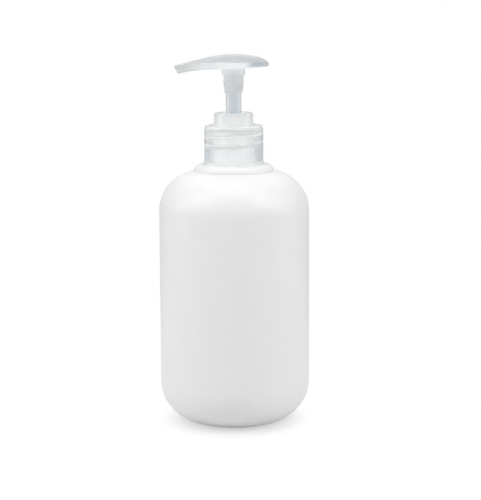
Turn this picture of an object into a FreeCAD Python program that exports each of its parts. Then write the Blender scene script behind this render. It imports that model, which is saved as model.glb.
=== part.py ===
import FreeCAD, Part
import math
import os
import Sketcher

# Pump oil bottle: a blown white bottle of 500 ml with a screw-on lotion pump.
# Millimetres, +Z up, the origin on the bottle's axis in the plane it stands on, the spout towards -X.

DRIVING_SIZES = (
    # bottle body
    ("body_diameter", 78.0),
    ("bottle_wall", 1.2),
    ("shoulder_height", 110.7),
    ("shoulder_radius", 20.6),
    ("base_corner_radius", 21.5),
    ("foot_ring_diameter", 44.0),
    ("foot_ring_width", 2.5),
    ("base_dome_rise", 3.0),
    ("base_wall", 1.6),
    # bottle neck, a 28-410 finish on a rounded bead
    ("bead_diameter", 41.4),
    ("bead_height", 3.55),
    ("bead_round", 3.0),
    ("neck_diameter", 25.2),
    ("neck_bore", 21.8),
    ("neck_height", 16.6),
    ("neck_thread_diameter", 27.4),
    ("neck_thread_pitch", 4.233),
    ("neck_thread_turns", 1.5),
    ("neck_thread_drop", 2.65),
    ("thread_root_width", 2.2),
    ("thread_crest_width", 0.9),
    # screw closure
    ("closure_diameter", 30.5),
    ("closure_lip_diameter", 31.2),
    ("closure_lip_height", 1.3),
    ("closure_top_wall", 1.25),
    ("closure_edge_round", 0.6),
    ("closure_gap", 0.3),
    ("closure_thread_turns", 1.25),
    ("thread_clearance", 0.25),
    ("thread_backlash", 0.3),
    ("rib_count", 72),
    ("rib_height", 0.25),
    ("rib_width", 0.6),
    ("rib_top_margin", 1.0),
    # gasket and the flange of the pump housing
    ("gasket_thickness", 1.0),
    ("flange_thickness", 1.2),
    ("flange_side_gap", 0.7),
    ("gasket_bore_gap", 0.2),
    # lock ring, which snaps into the housing through the closure
    ("lock_ring_diameter", 20.4),
    ("lock_ring_height", 6.55),
    ("lock_ring_wall", 1.3),
    ("lock_ring_draft", 0.15),
    ("lock_ring_edge_round", 0.5),
    ("lock_ring_gap", 0.05),
    ("mouth_chamfer", 0.5),
    ("skirt_diameter", 14.8),
    ("skirt_depth", 7.0),
    ("skirt_side_gap", 0.5),
    ("guide_length", 4.0),
    ("guide_cone", 0.8),
    # lock thread between the plug of the head and the lock ring
    ("plug_diameter", 9.8),
    ("plug_length", 9.4),
    ("plug_end_diameter", 8.6),
    ("plug_end_taper", 1.8),
    ("lock_thread_height", 0.5),
    ("lock_thread_lead", 3.4),
    ("lock_thread_starts", 2),
    ("lock_thread_length", 5.2),
    ("lock_thread_root_width", 1.0),
    ("lock_thread_crest_width", 0.45),
    ("lock_thread_clearance", 0.15),
    ("lock_thread_margin", 0.5),
    # stem
    ("stem_diameter", 8.1),
    ("stem_bore", 5.0),
    ("open_stem_length", 9.8),
    ("stem_insert", 11.8),
    ("running_fit", 0.08),
    ("press_fit", 0.02),
    # pump head with its spout
    ("boss_diameter", 12.1),
    ("boss_height", 3.6),
    ("head_height", 7.25),
    ("heel_reach", 18.2),
    ("spout_reach", 30.7),
    ("spout_tip_slant", 2.2),
    ("head_width", 20.0),
    ("widest_place", 1.0),
    ("heel_plan_radius", 7.0),
    ("spout_tip_width", 6.4),
    ("crown_radius", 58.0),
    ("crown_cross_radius", 14.8),
    ("spout_line_start", 13.4),
    ("heel_round_start", 12.0),
    ("heel_round_radius", 14.0),
    ("spout_bend_start", 8.0),
    ("spout_bend_radius", 84.0),
    ("heel_rise_radius", 300.0),
    ("head_wall", 1.6),
    ("hollow_depth", 3.0),
    ("hollow_front", 9.0),
    ("channel_diameter", 3.0),
    ("channel_wall", 1.1),
    ("channel_rise", 0.15),
    ("channel_tip_drop", 1.9),
    # pump housing
    ("bore_diameter", 13.5),
    ("housing_wall", 1.2),
    ("barrel_length", 41.0),
    ("cup_floor_gap", 0.3),
    ("vent_diameter", 1.0),
    ("vent_drop", 6.0),
    ("chamber_diameter", 6.6),
    ("chamber_depth", 6.5),
    ("throat_diameter", 3.2),
    ("throat_length", 1.0),
    ("socket_depth", 9.0),
    # piston and poppet
    ("piston_length", 9.0),
    ("piston_stop_gap", 1.1),
    ("piston_slip", 0.8),
    ("slip_margin", 0.1),
    ("piston_cup_depth", 1.0),
    ("piston_cup_gap", 0.55),
    ("piston_hub_diameter", 10.0),
    ("piston_waist_diameter", 11.2),
    ("piston_lip_height", 2.0),
    ("piston_lip_chamfer", 0.5),
    ("flow_gap", 0.45),
    ("rod_diameter", 4.6),
    ("rod_insert", 9.0),
    ("flute_count", 4),
    ("flute_width", 1.2),
    ("flute_depth", 0.9),
    ("poppet_diameter", 9.6),
    ("poppet_thickness", 1.2),
    ("spigot_length", 2.5),
    # return spring, its seat and the inlet valve
    ("spring_wire", 0.9),
    ("spring_mean_diameter", 8.4),
    ("spring_turns", 8),
    ("spring_end_closing", 0.6),
    ("spring_side_gap", 0.35),
    ("spring_seat_gap", 0.05),
    ("cage_thickness", 1.5),
    ("cage_bar_width", 1.4),
    ("cage_bars", 4),
    ("ball_diameter", 5.0),
    ("ball_seat_gap", 0.05),
    # dip tube
    ("tube_diameter", 6.0),
    ("tube_bore", 4.0),
    ("tube_end_gap", 0.1),
    ("tube_floor_gap", 3.0),
    ("tube_cut_height", 3.0),
)

# How far a thread or rib reaches into the wall that carries it.
ROOT_OVERLAP = 0.3
# How far a cutting sketch stands outside what it cuts.
CUT_MARGIN = 4.0
# How far the cut of the head's crown runs past the heel, where its arc is still short of level.
HEEL_MARGIN = 0.5
LEFT = "left"
RIGHT = "right"

doc = FreeCAD.newDocument("pump_oil_bottle")
sheet = doc.addObject("Spreadsheet::Sheet", "sizes")
levels = doc.addObject("App::VarSet", "levels")


class Size:
    """A value in millimetres with the expression that ties it to the sheet."""

    def __init__(self, value, text):
        self.value = value
        self.text = text

    def __add__(self, other):
        other = as_size(other)
        return Size(self.value + other.value, f"({self.text} + {other.text})")

    def __sub__(self, other):
        other = as_size(other)
        return Size(self.value - other.value, f"({self.text} - {other.text})")

    def __mul__(self, other):
        other = as_size(other)
        return Size(self.value * other.value, f"({self.text} * {other.text})")

    def __truediv__(self, other):
        other = as_size(other)
        return Size(self.value / other.value, f"({self.text} / {other.text})")

    def __rsub__(self, other):
        return as_size(other) - self

    def __neg__(self):
        return Size(-self.value, f"(0 - {self.text})")


def as_size(item):
    if isinstance(item, Size):
        return item
    return Size(float(item), repr(float(item)))


def root(item):
    return Size(math.sqrt(item.value), f"sqrt({item.text})")


def drop(radius, away):
    """How far a circle has fallen below its top, away from the middle."""
    return radius - root(radius * radius - away * away)


class SheetSizes:
    """Fills the sheet and gives each of its cells as a Size."""

    def __init__(self):
        for row, (alias, value) in enumerate(DRIVING_SIZES, start=1):
            sheet.set(f"A{row}", alias)
            sheet.set(f"B{row}", str(value))
            sheet.setAlias(f"B{row}", alias)
            setattr(self, alias, Size(float(value), f"sizes.{alias}"))


def level(name, size):
    """Keeps a worked-out size under a name, for the expressions that use it."""
    levels.addProperty("App::PropertyFloat", name)
    levels.setExpression(name, size.text)
    return Size(size.value, f"levels.{name}")


s = SheetSizes()
doc.recompute()

# Heights, from the ground up.
body_r = level("body_r", s.body_diameter / 2)
foot_r = level("foot_r", s.foot_ring_diameter / 2)
bead_r = level("bead_r", s.bead_diameter / 2)
neck_r = level("neck_r", s.neck_diameter / 2)
bore_r = level("neck_bore_r", s.neck_bore / 2)
corner_centre_r = level("corner_centre_r", body_r - s.base_corner_radius)
foot_out = foot_r - corner_centre_r
corner_z = level("corner_z", root(s.base_corner_radius * s.base_corner_radius - foot_out * foot_out))
shoulder_centre_r = level("shoulder_centre_r", body_r - s.shoulder_radius)
crease_out = bead_r - shoulder_centre_r
crease_z = level("crease_z", s.shoulder_height
                 + root(s.shoulder_radius * s.shoulder_radius - crease_out * crease_out))
bead_top = level("bead_top", crease_z + s.bead_height)
finish = level("finish", bead_top + s.neck_height)
flange_bottom = level("flange_bottom", finish + s.gasket_thickness)
flange_top = level("flange_top", flange_bottom + s.flange_thickness)
closure_bottom = level("closure_bottom", bead_top + s.closure_gap)
closure_top = level("closure_top", flange_top + s.closure_top_wall)
ring_bottom = level("ring_bottom", closure_top + s.lock_ring_gap)
ring_top = level("ring_top", ring_bottom + s.lock_ring_height)
skirt_bottom = level("skirt_bottom", flange_top - s.skirt_depth)
plug_bottom = level("plug_bottom", ring_top + s.open_stem_length)
boss_bottom = level("boss_bottom", plug_bottom + s.plug_length)
underside = level("underside", boss_bottom + s.boss_height)
crown = level("crown", underside + s.head_height)
stem_top = level("stem_top", plug_bottom + s.stem_insert)
piston_top = level("piston_top", skirt_bottom - s.piston_stop_gap)
piston_bottom = level("piston_bottom", piston_top - s.piston_length)
hub_top = level("hub_top", piston_top - s.piston_cup_depth)
stem_bottom = level("stem_bottom", hub_top + s.piston_slip + s.slip_margin)
poppet_bottom = level("poppet_bottom", piston_bottom - s.poppet_thickness)
ledge = level("ledge", skirt_bottom - s.barrel_length)
cage_top = level("cage_top", ledge + s.cage_thickness)
throat_top = level("throat_top", ledge - s.chamber_depth)
throat_bottom = level("throat_bottom", throat_top - s.throat_length)
socket_bottom = level("socket_bottom", throat_bottom - s.socket_depth)

# Radii that two pieces share.
thread_r = level("thread_r", s.neck_thread_diameter / 2)
closure_inner_r = level("closure_inner_r", thread_r + s.thread_clearance)
skirt_r = level("skirt_r", s.skirt_diameter / 2)
cup_r = level("cup_r", skirt_r + s.press_fit)
cup_outer_r = level("cup_outer_r", cup_r + s.housing_wall)
flange_r = level("flange_r", closure_inner_r - s.flange_side_gap)
stem_r = level("stem_r", s.stem_diameter / 2)
stem_bore_r = level("stem_bore_r", s.stem_bore / 2)
plug_r = level("plug_r", s.plug_diameter / 2)
boss_r = level("boss_r", s.boss_diameter / 2)
barrel_r = level("barrel_r", s.bore_diameter / 2)
rod_r = level("rod_r", s.rod_diameter / 2)
tube_r = level("tube_r", s.tube_diameter / 2)
lock_root_r = level("lock_root_r", plug_r + s.lock_thread_height + s.lock_thread_clearance)


def new_body(label):
    body = doc.addObject("PartDesign::Body", label)
    body.Label = label
    return body


def origin_part(body, role):
    return next(item for item in body.Origin.OriginFeatures if item.Role == role)


def new_sketch(body, name, role, height=None):
    """A sketch on one of the body's own planes, moved along that plane's normal."""
    sketch = body.newObject("Sketcher::SketchObject", f"{body.Label}_{name}")
    sketch.AttachmentSupport = (origin_part(body, role), [""])
    sketch.MapMode = "FlatFace"
    if height is not None:
        sketch.setExpression("AttachmentOffset.Base.z", height.text)
    return sketch


def bind(sketch, name, constraint, size):
    """Adds a constraint under a name and ties it to the sheet."""
    sketch.renameConstraint(sketch.addConstraint(constraint), name)
    sketch.setExpression(f"Constraints.{name}", size.text)


def arc_between(start, end, radius, turn):
    """The short arc from start to end, kept as sketches keep it, counter-clockwise."""
    chord = end - start
    middle = (start + end) / 2
    reach = math.sqrt(max(radius * radius - chord.Length ** 2 / 4, 0.0))
    left = FreeCAD.Vector(-chord.y, chord.x, 0).normalize()
    centre = middle + left * (reach if turn == LEFT else -reach)
    first, last = (start, end) if turn == LEFT else (end, start)
    angles = [math.atan2(point.y - centre.y, point.x - centre.x) for point in (first, last)]
    circle = Part.Circle(centre, FreeCAD.Vector(0, 0, 1), radius)
    return Part.ArcOfCircle(circle, angles[0], angles[1])


def outline(body, name, role, steps, height=None):
    """A closed outline: (x, y) is a straight run to a point, (x, y, radius, turn) an arc to it."""
    sketch = new_sketch(body, name, role, height)
    points = [(as_size(step[0]), as_size(step[1])) for step in steps]
    places = [FreeCAD.Vector(x.value, y.value, 0) for x, y in points]
    ends = []
    for index, step in enumerate(steps):
        start = places[index - 1]
        if len(step) == 2:
            sketch.addGeometry(Part.LineSegment(start, places[index]), False)
            ends.append((1, 2))
        else:
            sketch.addGeometry(arc_between(start, places[index], step[2].value, step[3]), False)
            ends.append((1, 2) if step[3] == LEFT else (2, 1))
    count = len(steps)
    joints = [Sketcher.Constraint("Coincident", index, ends[index][1], (index + 1) % count,
                                  ends[(index + 1) % count][0]) for index in range(count)]
    sketch.addConstraint(joints)
    for index, (x, y) in enumerate(points):
        end = ends[index][1]
        bind(sketch, f"across_{index}", Sketcher.Constraint("DistanceX", index, end, x.value), x)
        bind(sketch, f"up_{index}", Sketcher.Constraint("DistanceY", index, end, y.value), y)
        if len(steps[index]) == 4:
            radius = steps[index][2]
            bind(sketch, f"radius_{index}", Sketcher.Constraint("Radius", index, radius.value), radius)
    return sketch


def circles(body, name, role, radii, height=None):
    """A sketch of circles about the body's axis."""
    sketch = new_sketch(body, name, role, height)
    for index, radius in enumerate(radii):
        circle = Part.Circle(FreeCAD.Vector(0, 0, 0), FreeCAD.Vector(0, 0, 1), radius.value)
        sketch.addGeometry(circle, False)
        sketch.addConstraint(Sketcher.Constraint("Coincident", index, 3, -1, 1))
        bind(sketch, f"radius_{index}", Sketcher.Constraint("Radius", index, radius.value), radius)
    return sketch


def revolve(body, name, steps):
    """A turned solid, from an outline of radii and heights."""
    sketch = outline(body, f"{name}_outline", "XZ_Plane", steps)
    feature = body.newObject("PartDesign::Revolution", f"{body.Label}_{name}")
    feature.Profile = sketch
    feature.ReferenceAxis = (sketch, ["V_Axis"])
    feature.Angle = 360
    return feature


def extrude(body, kind, name, sketch, length, reverse=False, both_ways=False):
    """A Pad or Pocket of a sketch, over a length."""
    feature = body.newObject(f"PartDesign::{kind}", f"{body.Label}_{name}")
    feature.Profile = sketch
    feature.setExpression("Length", length.text)
    feature.Reversed = reverse
    feature.Midplane = both_ways
    return feature


def around(body, name, feature, count):
    """Repeats a feature evenly about the body's axis."""
    pattern = body.newObject("PartDesign::PolarPattern", f"{body.Label}_{name}")
    pattern.Originals = [feature]
    pattern.Axis = (origin_part(body, "Z_Axis"), [""])
    pattern.Angle = 360
    pattern.setExpression("Occurrences", count.text)
    body.Tip = pattern
    return pattern


def helix(body, name, root_r, crest_r, bottom, widths, lead, height):
    """A right-hand thread ridge, whose section starts at +X and climbs about the axis."""
    root_half = widths[0] / 2
    crest_half = widths[1] / 2
    steps = ((root_r, bottom - root_half), (crest_r, bottom - crest_half),
             (crest_r, bottom + crest_half), (root_r, bottom + root_half))
    sketch = outline(body, f"{name}_section", "XZ_Plane", steps)
    feature = body.newObject("PartDesign::AdditiveHelix", f"{body.Label}_{name}")
    feature.Profile = sketch
    feature.ReferenceAxis = (sketch, ["V_Axis"])
    feature.Mode = "pitch-height-angle"
    feature.HasBeenEdited = True
    feature.setExpression("Pitch", lead.text)
    feature.setExpression("Height", height.text)
    return feature


neck_thread_rise = s.neck_thread_pitch * s.neck_thread_turns
neck_thread_bottom = level("neck_thread_bottom", finish - s.neck_thread_drop - neck_thread_rise)
neck_thread_widths = (s.thread_root_width, s.thread_crest_width)


def make_bottle():
    """The blown bottle: one wall all over, a domed base on a foot ring, a bead and a threaded neck."""
    body = new_body("bottle")
    inner_r = body_r - s.bottle_wall
    inner_corner = s.base_corner_radius - s.bottle_wall
    inner_shoulder = s.shoulder_radius - s.bottle_wall
    foot_inner = foot_r - s.foot_ring_width
    dome = (foot_inner * foot_inner + s.base_dome_rise * s.base_dome_rise) / (s.base_dome_rise * 2)
    inner_fall = corner_z - s.base_wall
    inner_foot = corner_centre_r + root(inner_corner * inner_corner - inner_fall * inner_fall)
    neck_root = bead_top - (neck_r - bore_r)
    collar_r = bead_r - s.bead_round
    collar_in = collar_r - shoulder_centre_r
    collar_bottom = s.shoulder_height + root(inner_shoulder * inner_shoulder - collar_in * collar_in)
    revolve(body, "wall", (
        (0, s.base_dome_rise),
        (foot_inner, 0, dome, RIGHT),
        (foot_r, 0),
        (body_r, corner_z, s.base_corner_radius, LEFT),
        (body_r, s.shoulder_height),
        (bead_r, crease_z, s.shoulder_radius, LEFT),
        (bead_r, bead_top - s.bead_round),
        (collar_r, bead_top, s.bead_round, LEFT),
        (neck_r, bead_top),
        (neck_r, finish),
        (bore_r, finish),
        (bore_r, neck_root),
        (collar_r, neck_root),
        (collar_r, collar_bottom),
        (inner_r, s.shoulder_height, inner_shoulder, RIGHT),
        (inner_r, corner_z),
        (inner_foot, s.base_wall, inner_corner, RIGHT),
        (foot_inner, s.base_wall),
        (0, s.base_dome_rise + s.base_wall, dome, LEFT),
    ))
    helix(body, "thread", neck_r - ROOT_OVERLAP, thread_r, neck_thread_bottom, neck_thread_widths,
          s.neck_thread_pitch, neck_thread_rise)
    return body


def make_closure():
    """The screw closure: a ribbed cap with a lip, a hole for the pump and a thread inside."""
    body = new_body("closure")
    rib_r = s.closure_diameter / 2
    side_r = rib_r - s.rib_height
    lip_r = s.closure_lip_diameter / 2
    lip_top = closure_bottom + s.closure_lip_height
    hole_r = skirt_r + s.skirt_side_gap
    revolve(body, "cap", (
        (closure_inner_r, closure_bottom),
        (lip_r, closure_bottom),
        (lip_r, lip_top),
        (side_r, lip_top),
        (side_r, closure_top - s.closure_edge_round),
        (side_r - s.closure_edge_round, closure_top, s.closure_edge_round, LEFT),
        (hole_r, closure_top),
        (hole_r, flange_top),
        (closure_inner_r, flange_top),
    ))
    half_width = s.rib_width / 2
    rib_section = outline(body, "rib_section", "XY_Plane", (
        (side_r - ROOT_OVERLAP, -half_width),
        (rib_r, -half_width),
        (rib_r, half_width),
        (side_r - ROOT_OVERLAP, half_width),
    ), lip_top)
    rib = extrude(body, "Pad", "rib", rib_section, closure_top - s.rib_top_margin - lip_top)
    around(body, "ribs", rib, s.rib_count)
    ridge_drop = (s.thread_root_width + s.thread_crest_width) / 2 + s.thread_backlash
    helix(body, "thread", closure_inner_r + ROOT_OVERLAP, neck_r + s.thread_clearance,
          neck_thread_bottom - ridge_drop, neck_thread_widths, s.neck_thread_pitch,
          s.neck_thread_pitch * s.closure_thread_turns)
    return body


def make_neck_gasket():
    """The flat ring that seals the housing's flange on the neck."""
    body = new_body("neck_gasket")
    inner_r = cup_outer_r + s.gasket_bore_gap
    revolve(body, "ring", ((inner_r, finish), (flange_r, finish), (flange_r, flange_bottom),
                           (inner_r, flange_bottom)))
    return body


def make_pump_housing():
    """The cylinder: a flange, a cup for the lock ring, the bore, the inlet valve and a tube socket."""
    body = new_body("pump_housing")
    cup_floor = skirt_bottom - s.cup_floor_gap
    cup_bottom = cup_floor - s.housing_wall
    barrel_outer = barrel_r + s.housing_wall
    chamber_r = s.chamber_diameter / 2
    chamber_outer = chamber_r + s.housing_wall
    throat_r = s.throat_diameter / 2
    socket_r = tube_r + s.press_fit
    socket_outer = socket_r + s.housing_wall
    barrel_end = ledge - s.housing_wall
    revolve(body, "barrel", (
        (cup_r, flange_top),
        (flange_r, flange_top),
        (flange_r, flange_bottom),
        (cup_outer_r, flange_bottom),
        (cup_outer_r, cup_bottom),
        (barrel_outer, cup_bottom - s.housing_wall),
        (barrel_outer, barrel_end),
        (chamber_outer, barrel_end - s.housing_wall),
        (chamber_outer, throat_bottom),
        (socket_outer, throat_bottom),
        (socket_outer, socket_bottom),
        (socket_r, socket_bottom),
        (socket_r, throat_bottom),
        (throat_r, throat_bottom),
        (throat_r, throat_top),
        (chamber_r, throat_top + chamber_r - throat_r),
        (chamber_r, ledge),
        (barrel_r, ledge),
        (barrel_r, cup_floor),
        (cup_r, cup_floor),
    ))
    vent = new_sketch(body, "vent_circle", "YZ_Plane")
    vent_z = piston_top - s.vent_drop
    vent_r = s.vent_diameter / 2
    vent.addGeometry(Part.Circle(FreeCAD.Vector(0, vent_z.value, 0), FreeCAD.Vector(0, 0, 1), vent_r.value))
    vent.addConstraint(Sketcher.Constraint("PointOnObject", 0, 3, -2))
    bind(vent, "height", Sketcher.Constraint("DistanceY", 0, 3, vent_z.value), vent_z)
    bind(vent, "radius", Sketcher.Constraint("Radius", 0, vent_r.value), vent_r)
    extrude(body, "Pocket", "vent", vent, barrel_outer * 2 + CUT_MARGIN, both_ways=True)
    return body


def make_lock_ring():
    """The lock ring: a threaded tube under a capped ring, with a guide for the stem."""
    body = new_body("lock_ring")
    ring_r = s.lock_ring_diameter / 2
    ring_inner = ring_r - s.lock_ring_wall
    top_r = ring_r - s.lock_ring_draft
    under_top = ring_top - s.lock_ring_wall
    guide_r = stem_r + s.running_fit
    guide_top = skirt_bottom + s.guide_length
    revolve(body, "ring", (
        (guide_r, skirt_bottom),
        (skirt_r, skirt_bottom),
        (skirt_r, under_top),
        (ring_inner, under_top),
        (ring_inner, ring_bottom),
        (ring_r, ring_bottom),
        (top_r, ring_top - s.lock_ring_edge_round),
        (top_r - s.lock_ring_edge_round, ring_top, s.lock_ring_edge_round, LEFT),
        (lock_root_r + s.mouth_chamfer, ring_top),
        (lock_root_r, ring_top - s.mouth_chamfer),
        (lock_root_r, guide_top + s.guide_cone),
        (guide_r, guide_top),
    ))
    crest_r = plug_r + s.lock_thread_clearance
    top = ring_top - s.mouth_chamfer - s.lock_thread_root_width / 2
    ridge = helix(body, "thread", lock_root_r + ROOT_OVERLAP, crest_r, top - s.lock_thread_length,
                  (s.lock_thread_root_width, s.lock_thread_crest_width), s.lock_thread_lead,
                  s.lock_thread_length)
    around(body, "thread_starts", ridge, s.lock_thread_starts)
    return body


def make_dip_tube():
    """The dip tube, pressed into the housing and cut at a slant just above the bottle's floor."""
    body = new_body("dip_tube")
    floor = s.base_dome_rise + s.base_wall + s.tube_floor_gap
    top = throat_bottom - s.tube_end_gap
    ring = circles(body, "section", "XY_Plane", (tube_r, s.tube_bore / 2), floor)
    extrude(body, "Pad", "tube", ring, top - floor)
    wedge = outline(body, "slant", "XZ_Plane", (
        (-tube_r, floor),
        (tube_r, floor),
        (tube_r, floor + s.tube_cut_height),
    ))
    extrude(body, "Pocket", "slant_cut", wedge, s.tube_diameter + CUT_MARGIN, both_ways=True)
    return body


def make_ball_cage():
    """The spring seat over the inlet ball: a ring with a cross that the oil flows past."""
    body = new_body("ball_cage")
    outer_r = barrel_r - s.press_fit
    seat_r = (s.spring_mean_diameter - s.spring_wire) / 2
    inner_r = seat_r - s.spring_side_gap
    revolve(body, "ring", ((inner_r, ledge), (outer_r, ledge), (outer_r, cage_top), (inner_r, cage_top)))
    half_bar = s.cage_bar_width / 2
    bar_section = outline(body, "bar_section", "XY_Plane", (
        (-half_bar, -half_bar),
        (seat_r, -half_bar),
        (seat_r, half_bar),
        (-half_bar, half_bar),
    ), ledge)
    bar = extrude(body, "Pad", "bar", bar_section, s.cage_thickness)
    around(body, "cross", bar, s.cage_bars)
    return body


def make_inlet_ball():
    """The inlet valve's ball, at rest on its cone in the housing."""
    ball = doc.addObject("Part::Sphere", "inlet_ball")
    ball.Label = "inlet_ball"
    ball_r = s.ball_diameter / 2
    throat_r = s.throat_diameter / 2
    centre = throat_top + (ball_r + s.ball_seat_gap) * root(as_size(2)) - throat_r
    ball.setExpression("Radius", ball_r.text)
    ball.setExpression("Placement.Base.z", centre.text)
    return ball


def make_stem():
    """The hollow stem between the piston and the head."""
    body = new_body("stem")
    revolve(body, "tube", ((stem_bore_r, stem_bottom), (stem_r, stem_bottom), (stem_r, stem_top),
                           (stem_bore_r, stem_top)))
    return body


def make_poppet():
    """The rod pressed into the stem, whose disc closes the piston from below and takes the spring."""
    body = new_body("poppet")
    insert_r = stem_bore_r - s.press_fit
    insert_top = stem_bottom + s.rod_insert
    poppet_r = s.poppet_diameter / 2
    spigot_r = (s.spring_mean_diameter - s.spring_wire) / 2 - s.spring_side_gap
    spigot_bottom = poppet_bottom - s.spigot_length
    revolve(body, "rod", (
        (0, spigot_bottom),
        (spigot_r, spigot_bottom),
        (spigot_r, poppet_bottom),
        (poppet_r, poppet_bottom),
        (poppet_r, piston_bottom),
        (rod_r, piston_bottom),
        (rod_r, stem_bottom),
        (insert_r, stem_bottom),
        (insert_r, insert_top),
        (0, insert_top),
    ))
    half_width = s.flute_width / 2
    flute_section = outline(body, "flute_section", "XY_Plane", (
        (insert_r - s.flute_depth, -half_width),
        (insert_r + CUT_MARGIN, -half_width),
        (insert_r + CUT_MARGIN, half_width),
        (insert_r - s.flute_depth, half_width),
    ), hub_top)
    flute = extrude(body, "Pocket", "flute", flute_section, insert_top - hub_top + CUT_MARGIN, reverse=True)
    around(body, "flutes", flute, s.flute_count)
    return body


def make_piston():
    """The sliding piston, with two lips in the bore and play along the stem that works as the outlet valve."""
    body = new_body("piston")
    lip_r = barrel_r - s.running_fit
    hub_r = s.piston_hub_diameter / 2
    waist_r = s.piston_waist_diameter / 2
    bore = rod_r + s.flow_gap
    lower_lip = piston_bottom + s.piston_lip_chamfer
    upper_lip = piston_top - s.piston_lip_height
    revolve(body, "sleeve", (
        (bore, piston_bottom),
        (hub_r, piston_bottom),
        (lip_r, lower_lip),
        (lip_r, lower_lip + s.piston_lip_height),
        (waist_r, lower_lip + s.piston_lip_height + s.piston_lip_chamfer),
        (waist_r, upper_lip - s.piston_lip_chamfer),
        (lip_r, upper_lip),
        (lip_r, piston_top),
        (stem_r + s.piston_cup_gap, piston_top),
        (stem_r + s.piston_cup_gap, hub_top),
        (bore, hub_top),
    ))
    return body


def biarc(start, start_way, end, end_way):
    """Two arcs from start to end that keep the given directions."""
    span = end - start
    ways = start_way + end_way
    slack = 2 * (1 - start_way.dot(end_way))
    along = span.dot(ways)
    reach = (math.sqrt(along * along + slack * span.dot(span)) - along) / slack
    corners = (start + start_way * reach, end - end_way * reach)
    middle = (corners[0] + corners[1]) / 2
    edges = []
    for first, corner, last in ((start, corners[0], middle), (middle, corners[1], end)):
        half_chord = (last - first).Length / 2
        foot = (first + last) / 2
        rise = (corner - foot).Length
        quarter_turn = math.atan2(rise, half_chord) / 2
        crest = foot + (corner - foot) * (half_chord * math.tan(quarter_turn) / rise)
        edges.append(Part.Arc(first, crest, last).toShape())
    return edges


def make_return_spring():
    """The return spring: one wire, closer wound at both ends, between the cage and the poppet."""
    wire_r = s.spring_wire.value / 2
    coil_r = s.spring_mean_diameter.value / 2
    turns = s.spring_turns.value
    closing = s.spring_end_closing.value
    bottom = cage_top.value + wire_r + s.spring_seat_gap.value
    top = poppet_bottom.value - wire_r - s.spring_seat_gap.value

    def point_at(share):
        angle = 2 * math.pi * turns * share
        rise = share - closing * math.sin(2 * math.pi * share) / (2 * math.pi)
        return FreeCAD.Vector(coil_r * math.cos(angle), coil_r * math.sin(angle), bottom + (top - bottom) * rise)

    def way_at(share):
        angle = 2 * math.pi * turns * share
        around_speed = 2 * math.pi * turns * coil_r
        climb = (top - bottom) * (1 - closing * math.cos(2 * math.pi * share))
        way = FreeCAD.Vector(-around_speed * math.sin(angle), around_speed * math.cos(angle), climb)
        return way.normalize()

    quarters = int(round(turns * 4))
    shares = [index / quarters for index in range(quarters + 1)]
    edges = []
    for low, high in zip(shares, shares[1:]):
        edges.extend(biarc(point_at(low), way_at(low), point_at(high), way_at(high)))
    section = Part.Wire(Part.makeCircle(wire_r, point_at(0), way_at(0)))
    spring = doc.addObject("Part::Feature", "return_spring")
    spring.Label = "return_spring"
    spring.Shape = Part.Wire(edges).makePipeShell([section], True, False)
    steps_per_turn = 24
    count = int(turns * steps_per_turn)
    dots = [point_at(index / count) for index in range(count + 1)]
    apart = min((dots[index] - dots[other]).Length
                for index in range(count + 1)
                for other in range(index + steps_per_turn // 2, count + 1))
    print(f"return spring: least gap to itself {apart - 2 * wire_r:.2f} mm")
    return spring


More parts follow.
